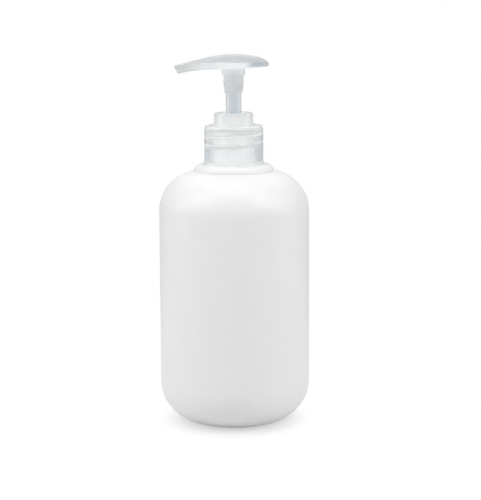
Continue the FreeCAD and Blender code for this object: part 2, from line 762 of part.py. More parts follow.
def make_actuator():
    """The pump head: a domed leaf with a spout, hollow below, on a boss and a threaded plug."""
    body = new_body("actuator")
    half_width = s.head_width / 2
    tip_half = s.spout_tip_width / 2
    plan_tip = s.spout_reach + s.spout_tip_slant
    # Seen from above, two equal arcs swell from the spout's tip to the widest place.
    swell_run = (s.widest_place + plan_tip) / 2
    swell_rise = (half_width - tip_half) / 2
    swell = (swell_run * swell_run + swell_rise * swell_rise) / (swell_rise * 2)
    swell_x = s.widest_place - swell_run
    swell_y = half_width - swell_rise
    # The heel is a large arc and a small one that meet in line.
    heel_run = s.heel_reach - s.widest_place
    small_x = s.heel_reach - s.heel_plan_radius
    small_run = heel_run - s.heel_plan_radius
    flank = ((small_run * small_run + half_width * half_width - s.heel_plan_radius * s.heel_plan_radius)
             / ((half_width - s.heel_plan_radius) * 2))
    share = s.heel_plan_radius / (flank - s.heel_plan_radius)
    meet_x = small_x + small_run * share
    meet_y = (flank - half_width) * share
    plan = outline(body, "plan", "XY_Plane", (
        (-plan_tip, tip_half, swell, RIGHT),
        (-plan_tip, -tip_half),
        (swell_x, -swell_y, swell, RIGHT),
        (s.widest_place, -half_width, swell, LEFT),
        (meet_x, -meet_y, flank, LEFT),
        (meet_x, meet_y, s.heel_plan_radius, LEFT),
        (s.widest_place, half_width, flank, LEFT),
        (swell_x, swell_y, swell, LEFT),
    ), underside - CUT_MARGIN)
    extrude(body, "Pad", "leaf", plan, s.head_height + CUT_MARGIN)

    # Everything above the crown line goes, turned about a line below it, which rounds the top across.
    crown_axis = level("crown_axis", crown - s.crown_cross_radius)
    start_x = s.spout_line_start
    slope = start_x / root(s.crown_radius * s.crown_radius - start_x * start_x)
    start_z = s.crown_cross_radius - drop(s.crown_radius, start_x)
    tip_z = start_z - slope * (plan_tip + CUT_MARGIN - start_x)
    heel_x = s.heel_round_start
    heel_z = s.crown_cross_radius - drop(s.crown_radius, heel_x)
    heel_share = s.heel_round_radius / s.crown_radius
    heel_centre_x = heel_x - heel_x * heel_share
    heel_centre_z = heel_z - root(s.crown_radius * s.crown_radius - heel_x * heel_x) * heel_share
    last_x = s.heel_reach + HEEL_MARGIN
    last_out = last_x - heel_centre_x
    last_z = heel_centre_z + root(s.heel_round_radius * s.heel_round_radius - last_out * last_out)
    above = s.crown_cross_radius + s.head_width
    crown_cut = outline(body, "crown_line", "XZ_Plane", (
        (-(plan_tip + CUT_MARGIN), above),
        (-(plan_tip + CUT_MARGIN), tip_z),
        (-start_x, start_z),
        (heel_x, heel_z, s.crown_radius, RIGHT),
        (last_x, last_z, s.heel_round_radius, RIGHT),
        (last_x, above),
    ))
    crown_cut.setExpression("AttachmentOffset.Base.y", crown_axis.text)
    dome = body.newObject("PartDesign::Groove", "actuator_dome")
    dome.Profile = crown_cut
    dome.ReferenceAxis = (crown_cut, ["H_Axis"])
    dome.Angle = 180
    dome.Midplane = True

    # From the bend the underside rises a little to the heel and falls towards the spout's slanted tip.
    tip_top = level("tip_top", crown_axis + start_z - slope * (s.spout_reach - start_x))
    low_x = s.spout_reach - s.spout_tip_slant
    tip_bottom = level("tip_bottom", underside - drop(s.spout_bend_radius, low_x - s.spout_bend_start))
    slant = s.spout_tip_slant / (tip_top - tip_bottom)
    below = underside - CUT_MARGIN * 3
    far_top = tip_top + CUT_MARGIN
    far_x = s.spout_reach + slant * CUT_MARGIN
    heel_end = s.heel_reach + CUT_MARGIN
    under_cut = outline(body, "under_line", "XZ_Plane", (
        (-(far_x + CUT_MARGIN * 2), below),
        (heel_end, below),
        (heel_end, underside + drop(s.heel_rise_radius, heel_end + s.spout_bend_start)),
        (-s.spout_bend_start, underside, s.heel_rise_radius, RIGHT),
        (-low_x, tip_bottom, s.spout_bend_radius, LEFT),
        (-far_x, far_top),
        (-(far_x + CUT_MARGIN * 2), far_top),
    ))
    extrude(body, "Pocket", "under", under_cut, s.head_width + CUT_MARGIN, both_ways=True)

    # The hollow follows the heel from below, one wall inside it.
    hollow_half = half_width - s.head_wall
    hollow_small = s.heel_plan_radius - s.head_wall
    hollow_share = hollow_small / (flank - s.heel_plan_radius)
    hollow_plan = outline(body, "hollow_plan", "XY_Plane", (
        (-s.hollow_front, swell_y - s.head_wall),
        (-s.hollow_front, s.head_wall - swell_y),
        (s.widest_place, -hollow_half),
        (small_x + small_run * hollow_share, (half_width - flank) * hollow_share, flank - s.head_wall, LEFT),
        (small_x + small_run * hollow_share, (flank - half_width) * hollow_share, hollow_small, LEFT),
        (s.widest_place, hollow_half, flank - s.head_wall, LEFT),
    ), underside)
    extrude(body, "Pocket", "hollow", hollow_plan, s.hollow_depth, reverse=True)

    # The boss, the plug and the web that carries the channel across the hollow.
    web_half = s.channel_diameter / 2 + s.channel_wall
    web_plan = outline(body, "web_plan", "XY_Plane", (
        (-(s.hollow_front + s.head_wall / 2), -web_half),
        (0, -web_half),
        (0, web_half),
        (-(s.hollow_front + s.head_wall / 2), web_half),
    ), underside)
    extrude(body, "Pad", "web", web_plan, s.hollow_depth + s.head_wall / 2)
    extrude(body, "Pad", "boss", circles(body, "boss_circle", "XY_Plane", (boss_r,), boss_bottom),
            s.boss_height + s.hollow_depth + s.head_wall / 2)
    revolve(body, "plug", (
        (0, plug_bottom),
        (s.plug_end_diameter / 2, plug_bottom),
        (plug_r, plug_bottom + s.plug_end_taper),
        (plug_r, boss_bottom),
        (0, boss_bottom),
    ))
    thread_bottom = boss_bottom - s.lock_thread_margin - s.lock_thread_length - s.lock_thread_root_width / 2
    ridge = helix(body, "thread", plug_r - ROOT_OVERLAP, plug_r + s.lock_thread_height, thread_bottom,
                  (s.lock_thread_root_width, s.lock_thread_crest_width), s.lock_thread_lead,
                  s.lock_thread_length)
    around(body, "thread_starts", ridge, s.lock_thread_starts)

    # The socket for the stem, the riser above it and the channel out to the tip.
    socket = circles(body, "socket_circle", "XY_Plane", (stem_r + s.press_fit,), plug_bottom)
    extrude(body, "Pocket", "socket", socket, s.stem_insert, reverse=True)
    channel_r = s.channel_diameter / 2
    middle_x = s.spout_reach - s.spout_tip_slant / 2
    channel_tip_z = tip_top - s.channel_tip_drop
    channel_end_z = level("channel_end_z", channel_tip_z + s.channel_rise * middle_x)
    riser = circles(body, "riser_circle", "XY_Plane", (channel_r,), stem_top)
    extrude(body, "Pocket", "riser", riser, channel_end_z - stem_top, reverse=True)
    run = root(middle_x * middle_x * (s.channel_rise * s.channel_rise + 1))
    bore = outline(body, "channel_half", "XZ_Plane", (
        (-(run + CUT_MARGIN), 0),
        (0, 0),
        (0, channel_r),
        (-(run + CUT_MARGIN), channel_r),
    ))
    bore.setExpression("AttachmentOffset.Base.y", channel_end_z.text)
    bore.setExpression("AttachmentOffset.Rotation.Angle", f"atan({s.channel_rise.text})")
    channel = body.newObject("PartDesign::Groove", "actuator_channel")
    channel.Profile = bore
    channel.ReferenceAxis = (bore, ["H_Axis"])
    channel.Angle = 360
    return body


sub_parts = [make_bottle(), make_closure(), make_neck_gasket(), make_pump_housing(), make_lock_ring(),
             make_dip_tube(), make_ball_cage(), make_inlet_ball(), make_stem(), make_poppet(),
             make_piston(), make_actuator(), make_return_spring()]
doc.recompute()

for item in doc.Objects:
    if "Invalid" in item.State or "Error" in item.State:
        raise RuntimeError(f"{item.Name} failed: {item.getStatusString()}")
for item in sub_parts:
    if item.Shape.isNull() or not item.Shape.isValid() or len(item.Shape.Solids) != 1:
        raise RuntimeError(f"{item.Label} is not one valid solid")

os.makedirs("parts", exist_ok=True)
for item in sub_parts:
    item.Shape.exportStep(f"parts/{item.Label}.step")
    print(f"{item.Label}: {item.Shape.Volume / 1000:.3f} ml, height "
          f"{item.Shape.BoundBox.ZMin:.2f} to {item.Shape.BoundBox.ZMax:.2f} mm")
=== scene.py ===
"""The looks of a pump oil bottle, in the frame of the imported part."""

import math

import bmesh
import bpy
from mathutils import Matrix, Vector


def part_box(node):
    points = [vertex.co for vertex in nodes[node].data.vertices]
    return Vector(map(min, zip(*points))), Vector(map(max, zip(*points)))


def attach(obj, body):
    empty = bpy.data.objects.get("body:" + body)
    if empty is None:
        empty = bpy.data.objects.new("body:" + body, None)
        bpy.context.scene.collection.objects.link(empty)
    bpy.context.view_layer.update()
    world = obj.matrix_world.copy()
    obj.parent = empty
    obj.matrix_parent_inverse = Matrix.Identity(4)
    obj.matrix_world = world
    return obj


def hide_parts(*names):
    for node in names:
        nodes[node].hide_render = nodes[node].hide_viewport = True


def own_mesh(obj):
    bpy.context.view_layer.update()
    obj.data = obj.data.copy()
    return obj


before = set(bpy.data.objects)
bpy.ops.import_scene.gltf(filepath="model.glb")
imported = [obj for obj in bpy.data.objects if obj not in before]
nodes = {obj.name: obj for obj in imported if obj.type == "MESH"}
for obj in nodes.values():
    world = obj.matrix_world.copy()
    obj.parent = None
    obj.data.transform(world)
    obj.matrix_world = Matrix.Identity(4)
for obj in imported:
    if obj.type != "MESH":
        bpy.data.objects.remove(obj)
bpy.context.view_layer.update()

# Shapes are worked out in millimetres, and a mesh is turned to metres when it is made.
MM = 0.001


def top_of(node):
    """The height of a solid's top."""
    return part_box(node)[1].z / MM


def bottom_of(node):
    """The height of a solid's lowest point."""
    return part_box(node)[0].z / MM


def reach_of(node):
    """How far a solid reaches sideways, which is the radius of a turned one."""
    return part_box(node)[1].y / MM


# Bottle, from the ground up
BODY_R = reach_of("bottle")
BOTTLE_WALL = 1.2
FOOT_OUTER_R = 22.0
FOOT_INNER_R = 19.5
BASE_DOME_RISE = 3.0
BASE_CORNER_R = 21.5
CORNER_R = BODY_R - BASE_CORNER_R
CORNER_Z = math.sqrt(BASE_CORNER_R ** 2 - (FOOT_OUTER_R - CORNER_R) ** 2)
SHOULDER_Z = 110.7
SHOULDER_ARC_R = 20.6
SHOULDER_R = BODY_R - SHOULDER_ARC_R
BEAD_R = 20.7
BEAD_HEIGHT = 3.55
BEAD_ROUND = 3.0
NECK_R = 12.6
NECK_BORE_R = 10.9
NECK_EDGE = 0.4
CREASE_Z = SHOULDER_Z + math.sqrt(SHOULDER_ARC_R ** 2 - (BEAD_R - SHOULDER_R) ** 2)
BEAD_TOP = CREASE_Z + BEAD_HEIGHT
FINISH_Z = top_of("bottle")

# Neck thread and the closure's thread that turns on it
THREAD_PITCH = 4.233
THREAD_ROOT_WIDTH = 2.2
THREAD_CREST_WIDTH = 0.9
NECK_THREAD_R = 13.7
NECK_THREAD_TURNS = 1.5
THREAD_RUN_IN = 0.1
NECK_THREAD_DROP = 2.65
NECK_THREAD_Z = FINISH_Z - NECK_THREAD_DROP - THREAD_PITCH * NECK_THREAD_TURNS
CLOSURE_THREAD_R = 13.5
CLOSURE_THREAD_TURNS = 1.25
CLOSURE_THREAD_ROOT = 4.0
CLOSURE_THREAD_CREST = 0.4
CLOSURE_THREAD_DROP = 1.85
CLOSURE_THREAD_Z = NECK_THREAD_Z - CLOSURE_THREAD_DROP
ROOT_OVERLAP = 0.3

# Closure
CLOSURE_Z = bottom_of("closure")
CLOSURE_TOP = top_of("closure")
CLOSURE_LIP_R = reach_of("closure")
CLOSURE_LIP_HEIGHT = 1.3
CLOSURE_LIP_TOP = CLOSURE_Z + CLOSURE_LIP_HEIGHT
CLOSURE_LIP_EDGE = 0.2
CLOSURE_R = 15.0
CLOSURE_INNER_R = 13.95
CLOSURE_HOLE_R = 7.9
CLOSURE_TOP_WALL = 1.25
CLOSURE_ROUND = 0.6
RIB_COUNT = 72
RIB_HEIGHT = 0.25
RIB_STEPS = 10
RIB_TOP_MARGIN = 1.0

# Lock ring
RING_GAP = 0.05
RING_Z = CLOSURE_TOP + RING_GAP
RING_TOP = top_of("lock_ring")
RING_R = reach_of("lock_ring")
RING_DRAFT = 0.15
RING_TOP_R = RING_R - RING_DRAFT
RING_WALL = 1.3
RING_ROUND = 0.5
SKIRT_R = 7.4
SKIRT_Z = bottom_of("lock_ring")
GUIDE_R = 4.13
GUIDE_LENGTH = 4.0
GUIDE_TOP = SKIRT_Z + GUIDE_LENGTH
GUIDE_CONE = 0.8
LOCK_ROOT_R = 5.55
LOCK_CREST_R = 5.05
MOUTH_CHAMFER = 0.5

# Lock thread, two starts
LOCK_LEAD = 3.4
LOCK_LENGTH = 5.2
LOCK_ROOT_WIDTH = 1.0
LOCK_CREST_WIDTH = 0.45
LOCK_HEIGHT = 0.5
LOCK_STARTS = 2
LOCK_MARGIN = 0.5

# Stem
STEM_R = reach_of("stem")
STEM_BORE_R = 2.5
STEM_Z = bottom_of("stem")
STEM_TOP = top_of("stem")
STEM_EDGE = 0.2
STEM_FIT = 0.02

# Head, with its spout towards -X
CROWN_Z = top_of("actuator")
PLUG_Z = bottom_of("actuator")
PLUG_R = 4.9
PLUG_END_R = 4.3
PLUG_END_TAPER = 1.8
PLUG_LENGTH = 9.4
BOSS_Z = PLUG_Z + PLUG_LENGTH
BOSS_R = 6.05
BOSS_EDGE = 0.25
BOSS_HEIGHT = 3.6
UNDERSIDE_Z = BOSS_Z + BOSS_HEIGHT
HEEL_REACH = 18.2
SPOUT_REACH = 30.7
SPOUT_SLANT = 2.2
SLANT_START_X = -20.0
HEAD_HALF = 10.0
WIDEST_X = 1.0
HEEL_PLAN_R = 7.0
TIP_HALF = 3.2
CROWN_R = 58.0
CROWN_CROSS_R = 14.8
SPOUT_LINE_X = -13.4
HEEL_ROUND_X = 12.0
HEEL_ROUND_R = 14.0
SPOUT_BEND_X = -8.0
SPOUT_BEND_R = 84.0
HEEL_RISE_R = 300.0
HEAD_WALL = 1.6
HOLLOW_DEPTH = 3.0
HOLLOW_FRONT = -9.0
CHANNEL_R = 1.5
CHANNEL_RISE = 0.15
CHANNEL_TIP_DROP = 1.9
WEB_HALF = 2.6
RIM_ROUND = 0.7
UNDER_ROUND = 0.45
NOSE_ROUND = 0.8
NOSE_HALF = 0.2
MOST_ROUND_SHARE = 0.6
FLAT_SHARE = 0.3

# Return spring
SPRING_WIRE_R = 0.45
SPRING_COIL_R = 4.2
SPRING_TURNS = 8
SPRING_CLOSING = 0.6
SPRING_TURN_STEPS = 32
WIRE_SIDES = 12

# How many flats a full turn is drawn with.
TURN_STEPS = 192
SMALL_TURN_STEPS = 96

# A thread's end runs out over this part of a turn, down to this share of its height.
RUN_OUT_TURNS = 0.06
RUN_OUT_SHARE = 0.02

# Points closer than this are merged, in a new mesh and in one that was joined or cut, in metres.
POINT_MERGE = 1e-7
SEAM_MERGE = 1e-6

# How far a cutting shape goes past the face that it cuts.
CUT_PAST = 1.0
CHANNEL_PAST = 4.0


def linear(hex_colour):
    """A colour written as sRGB hex, in the linear values that shaders take."""
    channels = [int(hex_colour[at:at + 2], 16) / 255 for at in (0, 2, 4)]
    return [c / 12.92 if c <= 0.04045 else ((c + 0.055) / 1.055) ** 2.4 for c in channels] + [1.0]


def node(tree, kind, inputs=None, **settings):
    """Adds a node, with its settings, and sets or links its inputs."""
    made = tree.nodes.new(kind)
    for name, value in settings.items():
        setattr(made, name, value)
    for socket, value in (inputs or {}).items():
        if isinstance(value, bpy.types.NodeSocket):
            tree.links.new(value, made.inputs[socket])
        else:
            made.inputs[socket].default_value = value
    return made


def new_material(name):
    material = bpy.data.materials.new(name)
    material.use_nodes = True
    material.node_tree.nodes.clear()
    return material, material.node_tree


def arc(centre_r, centre_z, radius, start, end, steps):
    """Points on an arc of a profile, from one angle to another, in degrees."""
    angles = [math.radians(start + (end - start) * i / steps) for i in range(steps + 1)]
    return [(centre_r + radius * math.cos(a), centre_z + radius * math.sin(a)) for a in angles]


def new_object(name, points, faces, smooth_angle=35):
    """A mesh object from points in millimetres, smooth apart from its sharp edges."""
    mesh = bpy.data.meshes.new(name)
    mesh.from_pydata([Vector(point) * MM for point in points], [], faces)
    shape = bmesh.new()
    shape.from_mesh(mesh)
    bmesh.ops.remove_doubles(shape, verts=shape.verts, dist=POINT_MERGE)
    bmesh.ops.recalc_face_normals(shape, faces=shape.faces)
    shape.to_mesh(mesh)
    shape.free()
    mesh.shade_smooth()
    mesh.set_sharp_from_angle(angle=math.radians(smooth_angle))
    made = bpy.data.objects.new(name, mesh)
    bpy.context.scene.collection.objects.link(made)
    return made


def grid_faces(rows, columns, rows_closed, columns_closed):
    """Quads over a grid of points that is stored row by row."""
    faces = []
    for row in range(rows if rows_closed else rows - 1):
        for column in range(columns if columns_closed else columns - 1):
            next_row = (row + 1) % rows
            next_column = (column + 1) % columns
            faces.append((row * columns + column, row * columns + next_column,
                          next_row * columns + next_column, next_row * columns + column))
    return faces


def capped_faces(rows, columns):
    """Quads round a row of closed outlines, and a face over each end."""
    count = rows * columns
    faces = grid_faces(rows, columns, False, True)
    faces.append(tuple(range(columns)))
    faces.append(tuple(reversed(range(count - columns, count))))
    return faces


def turned(name, profile, steps=TURN_STEPS, closed=True):
    """A turned piece: a profile of radii and heights, spun about the bottle's axis."""
    points = []
    for radius, height in profile:
        for step in range(steps):
            angle = 2 * math.pi * step / steps
            points.append((radius * math.cos(angle), radius * math.sin(angle), height))
    return new_object(name, points, grid_faces(len(profile), steps, closed, True))


def ridge(name, root_r, crest_r, start_z, root_width, crest_width, lead, turns, start_angle=0.0):
    """A right-hand thread ridge whose ends run out into the wall."""
    steps = int(turns * SMALL_TURN_STEPS)
    points = []
    for step in range(steps + 1):
        share = step / steps
        full = min(1.0, min(share, 1 - share) * turns / RUN_OUT_TURNS + RUN_OUT_SHARE)
        crest = root_r + (crest_r - root_r) * full
        angle = start_angle + 2 * math.pi * turns * share
        height = start_z + lead * turns * share
        for radius, rise in ((root_r, -root_width / 2), (crest, -crest_width / 2),
                             (crest, crest_width / 2), (root_r, root_width / 2)):
            points.append((radius * math.cos(angle), radius * math.sin(angle), height + rise))
    return new_object(name, points, capped_faces(steps + 1, 4))


def settle(made, modifier):
    """Keeps the mesh that a modifier gives, in place of the modifier."""
    graph = bpy.context.evaluated_depsgraph_get()
    graph.update()
    mesh = bpy.data.meshes.new_from_object(made.evaluated_get(graph))
    made.modifiers.remove(modifier)
    made.data = mesh


def cut_or_join(made, tool, operation):
    """Takes a tool's shape away from a piece, or joins it on, and clears the tool away."""
    modifier = made.modifiers.new("shape", "BOOLEAN")
    modifier.operation = operation
    modifier.solver = "EXACT"
    modifier.object = tool
    settle(made, modifier)
    bpy.data.objects.remove(tool)


def resharpen(made, smooth_angle=30):
    """Clears slivers that cutting and joining left, and marks the sharp edges again."""
    shape = bmesh.new()
    shape.from_mesh(made.data)
    bmesh.ops.remove_doubles(shape, verts=shape.verts, dist=SEAM_MERGE)
    bmesh.ops.dissolve_degenerate(shape, edges=shape.edges, dist=SEAM_MERGE)
    shape.to_mesh(made.data)
    shape.free()
    made.data.shade_smooth()
    made.data.set_sharp_from_angle(angle=math.radians(smooth_angle))


def dress(made, material, body, replaced):
    """Gives a finished piece its material and its body, and hides the solid that it stands for."""
    made.data.materials.clear()
    made.data.materials.append(material)
    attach(made, body)
    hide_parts(replaced)


# Materials

# How far apart a surface's marks are, in metres. The blasted grain is drawn coarse enough to show.
HDPE_WAVE = 0.009
HDPE_GRAIN = 0.0008
PP_FLOW_MARKS = 0.003
GLASS_STREAKS = 0.001
WIRE_MARKS = 0.0004

# Natural polypropylene, where a lamp shines through it and deep inside it
LAMPS_THROUGH_PP = "FBFBFB"
DEEP_PP_TONE = "A4B9CB"

# The head's tones, painted shade among them, and its clearness, and where one fades into the next
HEAD_TONE = "F9F9F9"
# Painted shade: the crown is greyed where it faces up, coming in over this range of facing.
CROWN_PAINTED_SHADE = "C2C4C5"
CROWN_SHADE_FACING = (0.2, 0.6)
PLUG_TONE = "E9EAEA"
# Painted shade of the hollow behind the heel's wall, between these lengths and above this height.
HEEL_PAINTED_SHADE = "CED5DA"
HEEL_SHADE_X = (6.5, 10.0)
HEEL_SHADE_Z = 185.2
HEEL_SHADE_FADE = 0.4
# Painted shade of the hollow tip, greying the spout towards its end.
SPOUT_PAINTED_SHADE = "DCDEDF"
SPOUT_SHADE_X = (-15.0, -28.0)
HEAD_CLEAR = 0.6
TIP_CLEAR = 0.15
TIP_CLEAR_X = (-17.0, -25.0)
PLUG_CLEAR = 0.68
PLUG_FADE = 0.3

# The closure's clearness, and the places that are thick or have a thread inside
CLOSURE_CLEAR = 0.86
CLOSURE_THICK_CLEAR = 0.4
THICK_FADE = 0.4
TOP_BAND_Z = CLOSURE_TOP - CLOSURE_TOP_WALL
FACE_DEPTH = 0.1
BAND_Z = 146.8
BAND_TURNS = 1.5
BAND_HALF = 0.6
BAND_FADE = 0.25
BAND_SHARE = 0.8
RIB_SHARE = 0.22


def white_hdpe():
    """White HDPE, blow-moulded: opaque and satin, a broad soft sheen, the mould's faint unevenness."""
    material, tree = new_material("white_hdpe_blow_moulded")
    place = node(tree, "ShaderNodeTexCoord").outputs["Object"]
    wave = node(tree, "ShaderNodeTexNoise", {"Vector": place, "Scale": 1 / HDPE_WAVE, "Detail": 2.0})
    grain = node(tree, "ShaderNodeTexNoise", {"Vector": place, "Scale": 1 / HDPE_GRAIN, "Detail": 1.0})
    rough = node(tree, "ShaderNodeMapRange", {"Value": wave.outputs["Fac"], "To Min": 0.36, "To Max": 0.44})
    tint = node(tree, "ShaderNodeMix", {"Factor": wave.outputs["Fac"], "A": linear("F4F5F4"),
                                        "B": linear("F7F8F7")}, data_type="RGBA")
    low = node(tree, "ShaderNodeBump", {"Height": wave.outputs["Fac"], "Strength": 0.06, "Distance": 0.0006})
    fine = node(tree, "ShaderNodeBump", {"Height": grain.outputs["Fac"], "Normal": low.outputs["Normal"],
                                         "Strength": 0.05, "Distance": 0.0001})
    plastic = node(tree, "ShaderNodeBsdfPrincipled", {
        "Base Color": tint.outputs["Result"], "Roughness": rough.outputs["Result"], "IOR": 1.53,
        "Normal": fine.outputs["Normal"]})
    node(tree, "ShaderNodeOutputMaterial", {"Surface": plastic.outputs["BSDF"]})
    return material


def head_tone(tree, place):
    """White sides and a greyer plug, with painted shade on the up-facing crown, the heel's hollow and the
    spout's tip.
    """
    at = node(tree, "ShaderNodeSeparateXYZ", {"Vector": place}).outputs
    normal = node(tree, "ShaderNodeNewGeometry").outputs["Normal"]
    facing = node(tree, "ShaderNodeSeparateXYZ", {"Vector": normal}).outputs
    # Painted shade on the crown where it faces up.
    crown = node(tree, "ShaderNodeMapRange", {"Value": facing["Z"], "From Min": CROWN_SHADE_FACING[0],
                                              "From Max": CROWN_SHADE_FACING[1]})
    plug = node(tree, "ShaderNodeMapRange", {"Value": at["Z"], "From Min": UNDERSIDE_Z * MM,
                                             "From Max": (UNDERSIDE_Z - PLUG_FADE) * MM})
    # Painted shade where the heel's hollow lies behind its wall.
    behind = node(tree, "ShaderNodeMapRange", {"Value": at["X"], "From Min": HEEL_SHADE_X[0] * MM,
                                               "From Max": HEEL_SHADE_X[1] * MM})
    hollow = node(tree, "ShaderNodeMapRange", {"Value": at["Z"], "From Min": HEEL_SHADE_Z * MM,
                                               "From Max": (HEEL_SHADE_Z + HEEL_SHADE_FADE) * MM,
                                               "To Max": behind.outputs["Result"]})
    # Painted shade, greyer towards the spout's tip.
    tip = node(tree, "ShaderNodeMapRange", {"Value": at["X"], "From Min": SPOUT_SHADE_X[0] * MM,
                                            "From Max": SPOUT_SHADE_X[1] * MM})
    front = node(tree, "ShaderNodeMix", {"Factor": tip.outputs["Result"], "A": linear(HEAD_TONE),
                                         "B": linear(SPOUT_PAINTED_SHADE)}, data_type="RGBA")
    side = node(tree, "ShaderNodeMix", {"Factor": hollow.outputs["Result"], "A": front.outputs["Result"],
                                        "B": linear(HEEL_PAINTED_SHADE)}, data_type="RGBA")
    upper = node(tree, "ShaderNodeMix", {"Factor": crown.outputs["Result"], "A": side.outputs["Result"],
                                         "B": linear(CROWN_PAINTED_SHADE)}, data_type="RGBA")
    return node(tree, "ShaderNodeMix", {"Factor": plug.outputs["Result"], "A": upper.outputs["Result"],
                                        "B": linear(PLUG_TONE)}, data_type="RGBA").outputs["Result"]


def head_clearness(tree, place):
    """The head is milkier than its plug, and milkiest round the channel at the spout's tip."""
    at = node(tree, "ShaderNodeSeparateXYZ", {"Vector": place}).outputs
    spout = node(tree, "ShaderNodeMapRange", {"Value": at["X"], "From Min": TIP_CLEAR_X[0] * MM,
                                              "From Max": TIP_CLEAR_X[1] * MM, "To Min": HEAD_CLEAR,
                                              "To Max": TIP_CLEAR})
    return node(tree, "ShaderNodeMapRange", {"Value": at["Z"], "From Min": (BOSS_Z - PLUG_FADE) * MM,
                                             "From Max": BOSS_Z * MM, "To Min": PLUG_CLEAR,
                                             "To Max": spout.outputs["Result"]}).outputs["Result"]


def closure_clearness(tree, place):
    """The closure is milkier where it is thick: in its lip, top and ribs, and where a thread runs inside."""
    at = node(tree, "ShaderNodeSeparateXYZ", {"Vector": place}).outputs
    lip = node(tree, "ShaderNodeMapRange", {"Value": at["Z"], "From Min": (CLOSURE_LIP_TOP + THICK_FADE) * MM,
                                            "From Max": CLOSURE_LIP_TOP * MM})
    face = node(tree, "ShaderNodeMapRange", {"Value": at["Z"], "From Min": (CLOSURE_TOP - FACE_DEPTH) * MM,
                                             "From Max": (CLOSURE_TOP - THICK_FADE) * MM})
    top = node(tree, "ShaderNodeMapRange", {"Value": at["Z"], "From Min": (TOP_BAND_Z - THICK_FADE) * MM,
                                            "From Max": TOP_BAND_Z * MM, "To Max": face.outputs["Result"]})
    angle = node(tree, "ShaderNodeMath", {0: at["Y"], 1: at["X"]}, operation="ARCTAN2").outputs["Value"]
    climb = node(tree, "ShaderNodeMath", {0: angle, 1: -THREAD_PITCH * MM / (2 * math.pi), 2: at["Z"]},
                 operation="MULTIPLY_ADD").outputs["Value"]
    above = node(tree, "ShaderNodeMath", {0: climb, 1: BAND_Z * MM}, operation="SUBTRACT").outputs["Value"]
    turns = node(tree, "ShaderNodeClamp", {"Value": above, "Min": -THREAD_PITCH / 2 * MM,
                                           "Max": THREAD_PITCH * BAND_TURNS * MM}).outputs["Result"]
    away = node(tree, "ShaderNodeMath", {0: turns, 1: THREAD_PITCH / 2 * MM},
                operation="PINGPONG").outputs["Value"]
    band = node(tree, "ShaderNodeMapRange", {"Value": away, "From Min": (BAND_HALF + BAND_FADE) * MM,
                                             "From Max": (BAND_HALF - BAND_FADE) * MM, "To Max": BAND_SHARE})
    ends = node(tree, "ShaderNodeMath", {0: lip.outputs["Result"], 1: top.outputs["Result"]},
                operation="MAXIMUM")
    wall = node(tree, "ShaderNodeMath", {0: ends.outputs["Value"], 1: band.outputs["Result"]},
                operation="MAXIMUM")
    rib_turn = node(tree, "ShaderNodeMath", {0: angle, 1: float(RIB_COUNT)}, operation="MULTIPLY")
    rib_wave = node(tree, "ShaderNodeMath", {0: rib_turn.outputs["Value"]}, operation="COSINE")
    rib = node(tree, "ShaderNodeMapRange", {"Value": rib_wave.outputs["Value"], "From Min": 1.0,
                                            "From Max": -1.0, "To Max": RIB_SHARE})
    thick = node(tree, "ShaderNodeMath", {0: wall.outputs["Value"], 1: rib.outputs["Result"]},
                 operation="ADD")
    return node(tree, "ShaderNodeMapRange", {"Value": thick.outputs["Value"], "To Min": CLOSURE_CLEAR,
                                             "To Max": CLOSURE_THICK_CLEAR}).outputs["Result"]


def natural_pp(name, tone, roughness, clear, density, gloss=0.6, sheen=0.0):
    """Natural polypropylene, injection-moulded: milky, see-through. Tone and clearness can vary by place."""
    material, tree = new_material(name)
    place = node(tree, "ShaderNodeTexCoord").outputs["Object"]
    flow = node(tree, "ShaderNodeTexNoise", {"Vector": place, "Scale": 1 / PP_FLOW_MARKS, "Detail": 2.0})
    rough = node(tree, "ShaderNodeMapRange", {"Value": flow.outputs["Fac"], "To Min": roughness * 0.85,
                                              "To Max": roughness * 1.15})
    bump = node(tree, "ShaderNodeBump", {"Height": flow.outputs["Fac"], "Strength": 0.04, "Distance": 0.0003})
    colour = tone(tree, place) if callable(tone) else linear(tone)
    clearness = clear(tree, place) if callable(clear) else clear
    plastic = node(tree, "ShaderNodeBsdfPrincipled", {
        "Base Color": colour, "Roughness": rough.outputs["Result"], "Transmission Weight": clearness,
        "IOR": 1.49, "Coat Weight": gloss, "Coat Roughness": 0.12, "Sheen Weight": sheen,
        "Normal": bump.outputs["Normal"]})
    # Lamps shine through the wall, as they do through thin plastic.
    lit = node(tree, "ShaderNodeBsdfTransparent", {"Color": linear(LAMPS_THROUGH_PP)})
    path = node(tree, "ShaderNodeLightPath").outputs
    surface = node(tree, "ShaderNodeMixShader", {0: path["Is Shadow Ray"], 1: plastic.outputs["BSDF"],
                                                 2: lit.outputs["BSDF"]})
    depth = node(tree, "ShaderNodeVolumeAbsorption", {"Color": linear(DEEP_PP_TONE), "Density": density})
    node(tree, "ShaderNodeOutputMaterial", {"Surface": surface.outputs["Shader"],
                                            "Volume": depth.outputs["Volume"]})
    return material


def plain_plastic(name, light, dark, roughness, spacing):
    """A soft moulded or foamed plastic, with a small mottle."""
    material, tree = new_material(name)
    place = node(tree, "ShaderNodeTexCoord").outputs["Object"]
    mottle = node(tree, "ShaderNodeTexNoise", {"Vector": place, "Scale": 1 / spacing, "Detail": 3.0})
    tint = node(tree, "ShaderNodeMix", {"Factor": mottle.outputs["Fac"], "A": linear(dark),
                                        "B": linear(light)}, data_type="RGBA")
    bump = node(tree, "ShaderNodeBump", {"Height": mottle.outputs["Fac"], "Strength": 0.15,
                                         "Distance": spacing * 0.2})
    plastic = node(tree, "ShaderNodeBsdfPrincipled", {
        "Base Color": tint.outputs["Result"], "Roughness": roughness, "IOR": 1.5,
        "Normal": bump.outputs["Normal"]})
    node(tree, "ShaderNodeOutputMaterial", {"Surface": plastic.outputs["BSDF"]})
    return material


